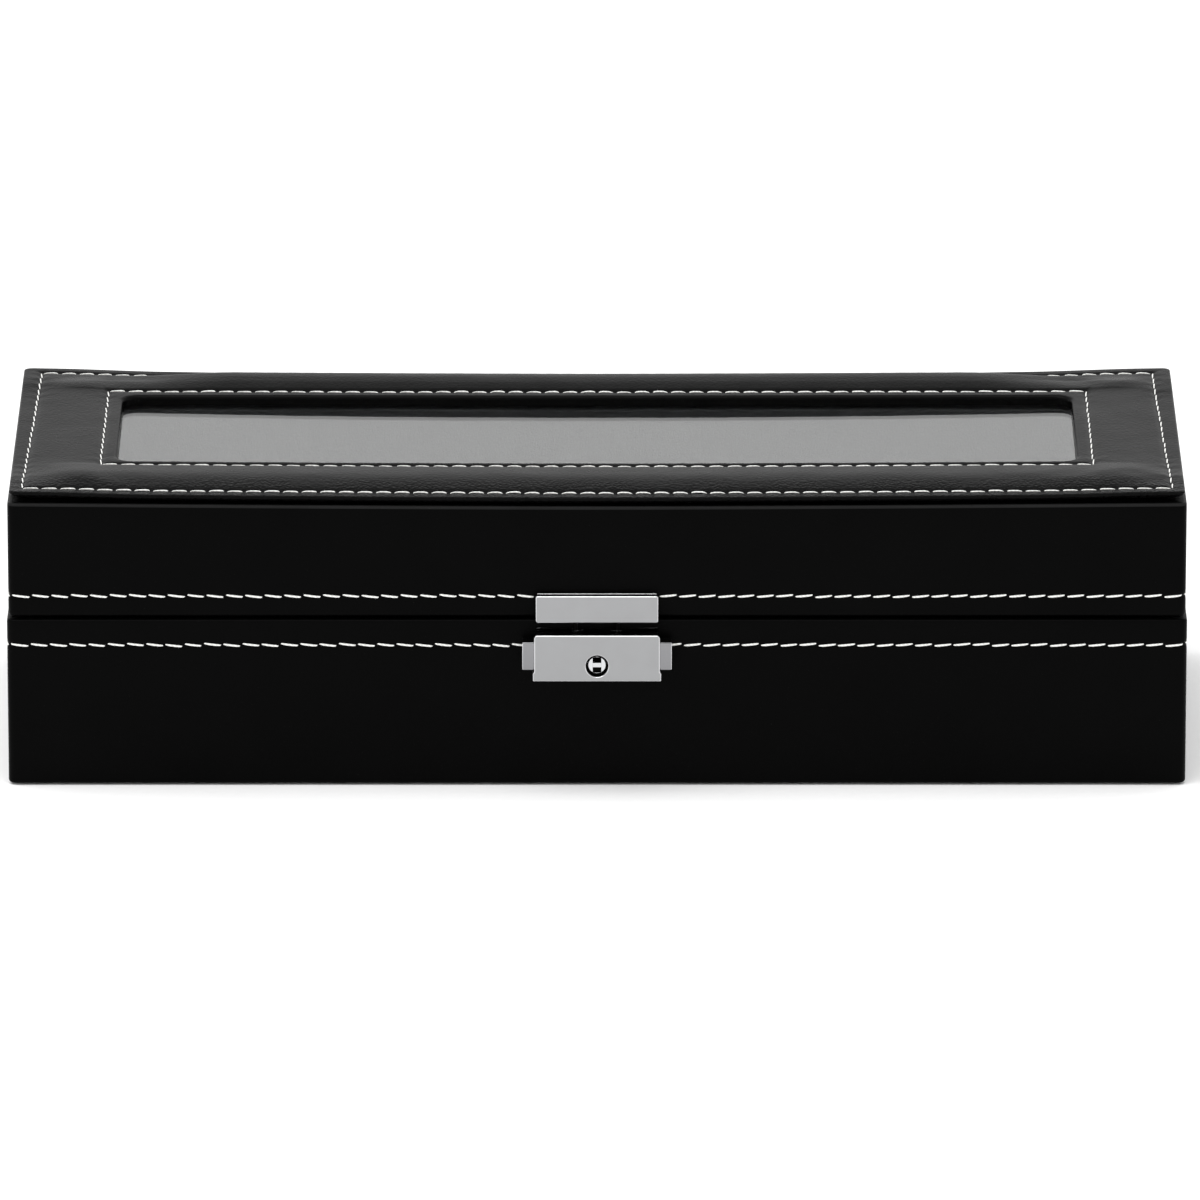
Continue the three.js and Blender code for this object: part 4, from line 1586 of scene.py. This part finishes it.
@dataclass
class Cushion:
    """A watch cushion: a soft velvet bolster, sewn along both ends, that a strap goes round."""

    finishes: Finishes
    nodes: tuple[str, ...] = tuple(f"pillow_{i}" for i in range(1, 7))
    shrink: tuple[float, float, float] = (1.6, 2.2, 1.6)
    reach: float = 2.4
    welt: float = 0.55

    def build(self) -> None:
        """Builds one cushion and lays a copy of it in each place."""
        low, high = box_mm(self.nodes[0])
        half = [(b - a) / 2 for a, b in zip(low, high)]
        master = self.stuffed(half)
        for i, node in enumerate(self.nodes):
            low, high = box_mm(node)
            place = [(a + b) / 2 for a, b in zip(low, high)]
            bench = Bench.copy_of(f"cushion_{i + 1}", master.obj)
            bench.reshape(lambda x, y, z, p=place: (x + p[0], y + p[1], z + p[2]))
            bench.smooth(80)
            piece = bench.dress(self.finishes.cushion, node, "cushion_velvet", node)
        bpy.data.objects.remove(master.obj, do_unlink=True)

    def stuffed(self, half: list[float]) -> Bench:
        """Models the cushion about the origin: a soft block, swollen as cloth, then seamed.

        Args:
            half: Half the room its CAD solid has, along x, y and z.

        Returns:
            The bench with the cushion on it.
        """
        hx, hy, hz = (h - s for h, s in zip(half, self.shrink))
        bench = Bench.block("cushion", [-hx, -hy, -hz], [hx, hy, hz])
        bench.edit()
        bench.pick(Pick.EDGES, lambda e: True)
        bpy.ops.mesh.bevel(offset=9 * MM, segments=3, affect="EDGES")
        bench.done()
        bench.modify("REMESH", mode="VOXEL", voxel_size=3.6 * MM)
        before = [v.co.copy() for v in bench.obj.data.vertices]
        self.swell(bench)
        for point, old in zip(bench.obj.data.vertices, before):
            moved = point.co - old
            if moved.length > self.reach * MM:
                point.co = old + moved * (self.reach * MM / moved.length)
        bench.modify("SUBSURF", levels=1, render_levels=1)
        bench.reshape(lambda x, y, z: self.seamed(x, y, z, half))
        return bench

    def swell(self, bench: Bench) -> None:
        """Blows the shell up as cloth under a little pressure."""
        cloth = bench.obj.modifiers.new("Stuffing", "CLOTH")
        settings = cloth.settings
        settings.quality = 5
        settings.mass = 0.2
        settings.use_pressure = True
        settings.uniform_pressure_force = 4
        settings.effector_weights.gravity = 0
        settings.tension_stiffness = 12
        settings.compression_stiffness = 12
        cloth.point_cache.frame_end = 20
        scene = bpy.context.scene
        for now in range(1, 21):
            scene.frame_set(now)
        bench.alone()
        bpy.ops.object.modifier_apply(modifier=cloth.name)
        scene.frame_set(1)

    def seamed(self, x: float, y: float, z: float, half: list[float]) -> tuple[float, float, float]:
        """Raises a welt round each end and gathers the velvet towards it, inside the CAD room."""
        end = half[1] - 7
        away = abs(abs(y) - end)
        gather = 0.22 * math.sin(math.atan2(z, x) * 26) * math.exp(-((away / 5) ** 2))
        out = -self.welt * math.exp(-((away / 1.3) ** 2)) + gather
        size = math.hypot(x, z) or 1.0
        x, z = x * (1 + out / size), z * (1 + out / size)
        room = [h - 0.1 for h in half]
        return (
            min(room[0], max(-room[0], x)),
            min(room[1], max(-room[1], y)),
            min(room[2], max(-room[2], z)),
        )


# ---- Metal parts and linings taken over from the CAD ---------------------------------------


@dataclass
class SoftenedParts:
    """CAD parts whose edges are broken, as plating or velvet over an edge does."""

    finishes: Finishes
    rim_width: float = 0.12
    rim_depth: float = 0.11

    def build(self) -> None:
        """Makes a softened copy of each part that needs one."""
        for node in ("lock_case", "hasp_plate"):
            bench = self.soften(node, self.finishes.chrome, "chrome", 0.18, self.finishes.edge, True)
            self.paint_shade(bench, self.finishes.shadow, self.in_lock_hollow)
        for node in ("button_left", "button_right"):
            self.soften(node, self.finishes.button, "button_chrome", 0.15, self.finishes.edge)
        cylinder, edge = self.finishes.cylinder, self.finishes.edge
        bench = self.soften("key_cylinder", cylinder, "cylinder_chrome", 0.05, edge)
        self.paint_shade(bench, self.finishes.shadow, self.in_keyway)
        for side in ("front", "back", "left", "right"):
            self.soften(f"liner_{side}", self.finishes.velvet, "velvet", 0.7)
        for number in range(1, 6):
            self.soften(f"divider_{number}", self.finishes.velvet, "velvet", 1.2)
        self.soften("floor_pad", self.finishes.velvet, "velvet", 0.6)
        self.soften("glass_retainer", self.finishes.lining, "lid_lining", 0.4)

    def in_lock_hollow(self, x: float, y: float, z: float) -> bool:
        """Says whether a place is on the keyhole's wall, on a prong of the hasp plate or in a slot of the
        case, where a dark material paints shade.
        """
        low, high = box_mm("key_cylinder")
        middle = (low[2] + high[2]) / 2
        (_, case_front, _), (_, _, case_top) = box_mm("lock_case")
        keyhole = math.hypot(x, z - middle) < 3.0 and y > case_front + 0.3
        prong = case_top + 0.05 < z < box_mm("lid_wrap")[0][2] - 1.0
        in_slot = 3.5 < abs(x) < 6.5 and y > case_front + 4.9 and z < case_top - 0.5
        return keyhole or prong or in_slot

    def in_keyway(self, x: float, y: float, z: float) -> bool:
        """Says whether a place is inside the keyway or on the cylinder's side, where a dark material paints
        shade.
        """
        return y > box_mm("key_cylinder")[0][1] + 0.3

    def paint_shade(
        self,
        bench: Bench,
        finish: bpy.types.Material,
        inside: Callable[[float, float, float], bool],
    ) -> None:
        """Paints shade onto the faces of a hollow, with a dark material of their own.

        Args:
            bench: The bench with the part.
            finish: The dark material, which paints the shade.
            inside: Says whether a place is in the hollow.
        """
        bench.obj.data.materials.append(finish)
        last = len(bench.obj.data.materials) - 1
        for face in bench.obj.data.polygons:
            if inside(*(c / MM for c in face.center)):
                face.material_index = last

    def soften(
        self,
        node: str,
        finish: bpy.types.Material,
        slot: str,
        width: float,
        edge: bpy.types.Material | None = None,
        rim: bool = False,
    ) -> Bench:
        """Bevels a merged copy of one node.

        Args:
            node: The CAD node.
            finish: Its material.
            slot: Its slot in the record.
            width: The bevel's width.
            edge: The paler material of its bevels, a painted highlight, if they have one.
            rim: Whether its top gets a fine raised rim.

        Returns:
            The bench with the part on it.
        """
        source = frame["nodes"][node]
        bench = Bench.copy_of(f"{node}_part", source)
        bench.edit()
        bpy.ops.mesh.select_all(action="SELECT")
        bpy.ops.mesh.dissolve_limited(angle_limit=math.radians(1))
        bench.done()
        # The bevels take the second material, the paler edge one: a painted highlight.
        if edge:
            bench.obj.data.materials.clear()
            bench.obj.data.materials.append(finish)
            bench.obj.data.materials.append(edge)
        bench.modify(
            "BEVEL",
            width=width * MM,
            segments=3,
            limit_method="ANGLE",
            angle_limit=math.radians(40),
            use_clamp_overlap=edge is None,
            material=1 if edge else -1,
        )
        if rim:
            self.raise_rim(bench)
        bench.smooth(12)
        body = source.parent.name.rpartition(":")[2]
        bench.dress(finish, body, slot, node, more=(edge,) if edge else ())
        return bench

    def raise_rim(self, bench: Bench) -> None:
        """Sinks a part's flat top a little, which leaves a fine rim round it, dressed in the paler edge
        material as a painted highlight.
        """
        top = max(v.co.z for v in bench.obj.data.vertices)
        level = top - 0.05 * MM
        bench.edit()
        bench.pick(Pick.FACES, lambda f: f.normal.z > 0.99 and f.calc_center_median().z > level)
        bpy.ops.mesh.inset(thickness=self.rim_width * MM, depth=-self.rim_depth * MM)
        bench.done()
        # The rim's slope takes the paler edge material: a painted highlight.
        for face in bench.obj.data.polygons:
            if 0.6 < face.normal.z < 0.8 and face.center.z > top - 0.15 * MM:
                face.material_index = 1


@dataclass
class ReturnSprings:
    """The two release buttons' return springs, which shorten as their buttons are pressed."""

    finishes: Finishes
    travel: float = 1.6  # of a button

    def build(self) -> None:
        """Copies each spring and dresses it."""
        for side, sign in (("left", -1), ("right", 1)):
            source = frame["nodes"][f"spring_{side}"]
            bench = Bench.copy_of(f"spring_{side}_coil", source)
            bench.smooth(50)
            body = source.parent.name.rpartition(":")[2]
            piece = bench.dress(self.finishes.steel, body, "lock_steel", f"spring_{side}")
            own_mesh(piece)


def dress_cad_nodes(finishes: Finishes) -> None:
    """Gives every CAD node that still shows the finish of its slot.

    Args:
        finishes: The materials.
    """
    for name, node in frame["nodes"].items():
        if node.hide_render:
            continue
        for slot in node.material_slots:
            base = slot.material.name.split(".")[0]
            slot.material = finishes.for_slot(base)
        LOG.info("%s: CAD node, redressed", name)


# ---- Studio --------------------------------------------------------------------------------


@dataclass
class Studio:
    """A pale floor, an even white surround, one large soft light and the camera."""

    finishes: Finishes
    surround: float = 1.0
    key: float = 34.0  # watts
    lamp_place: tuple[float, float, float] = (-0.6, -0.5, 2.2)
    lamp_size: tuple[float, float] = (2.4, 1.8)
    lamp_turn: tuple[float, float, float] = (-12.0, -15.0, 0.0)
    view_place: tuple[float, float, float] = (0.00076, -3.677, 1.192)
    view_tilt: float = 72.49
    lens: float = 448.0
    sensor: float = 36.0

    def build(self) -> None:
        """Sets up the studio."""
        scene = bpy.context.scene
        scene.view_settings.view_transform = "Standard"
        world = bpy.data.worlds.new("Studio surround")
        world.use_nodes = True
        world.node_tree.nodes["Background"].inputs["Color"].default_value = (1, 1, 1, 1)
        world.node_tree.nodes["Background"].inputs["Strength"].default_value = self.surround
        scene.world = world
        deselect()
        bpy.ops.mesh.primitive_plane_add(size=14, location=(0, 0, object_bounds()[0][2]))
        floor = Bench.fresh("floor")
        floor.obj.data.materials.append(self.finishes.floor)
        floor.obj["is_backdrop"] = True
        self.light()
        self.camera()

    def light(self) -> None:
        """Hangs one large soft light over the table."""
        deselect()
        bpy.ops.object.light_add(type="AREA", location=self.lamp_place)
        lamp = bpy.context.object
        lamp.name = "Soft light"
        lamp.data.shape = "RECTANGLE"
        lamp.data.size, lamp.data.size_y = self.lamp_size
        lamp.data.energy = self.key
        lamp.rotation_euler = [math.radians(a) for a in self.lamp_turn]

    def camera(self) -> None:
        """Stands the camera in front of the box, looking a little down."""
        deselect()
        tilt = (math.radians(self.view_tilt), 0, 0)
        bpy.ops.object.camera_add(location=self.view_place, rotation=tilt)
        camera = bpy.context.object
        camera.name = "Camera"
        camera.data.sensor_width = self.sensor
        camera.data.lens = self.lens
        camera.data.clip_end = 30
        camera.data.dof.use_dof = False
        bpy.context.scene.camera = camera


def main() -> None:
    """Builds the pieces in order."""
    logging.basicConfig(level=logging.INFO, format="%(message)s")
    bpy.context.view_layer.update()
    finishes = Finishes()
    Studio(finishes).build()
    Base(finishes).build()
    Lid(finishes).build()
    SoftenedParts(finishes).build()
    ReturnSprings(finishes).build()
    Cushion(finishes).build()
    dress_cad_nodes(finishes)
    deselect()


if __name__ == "__main__":
    main()
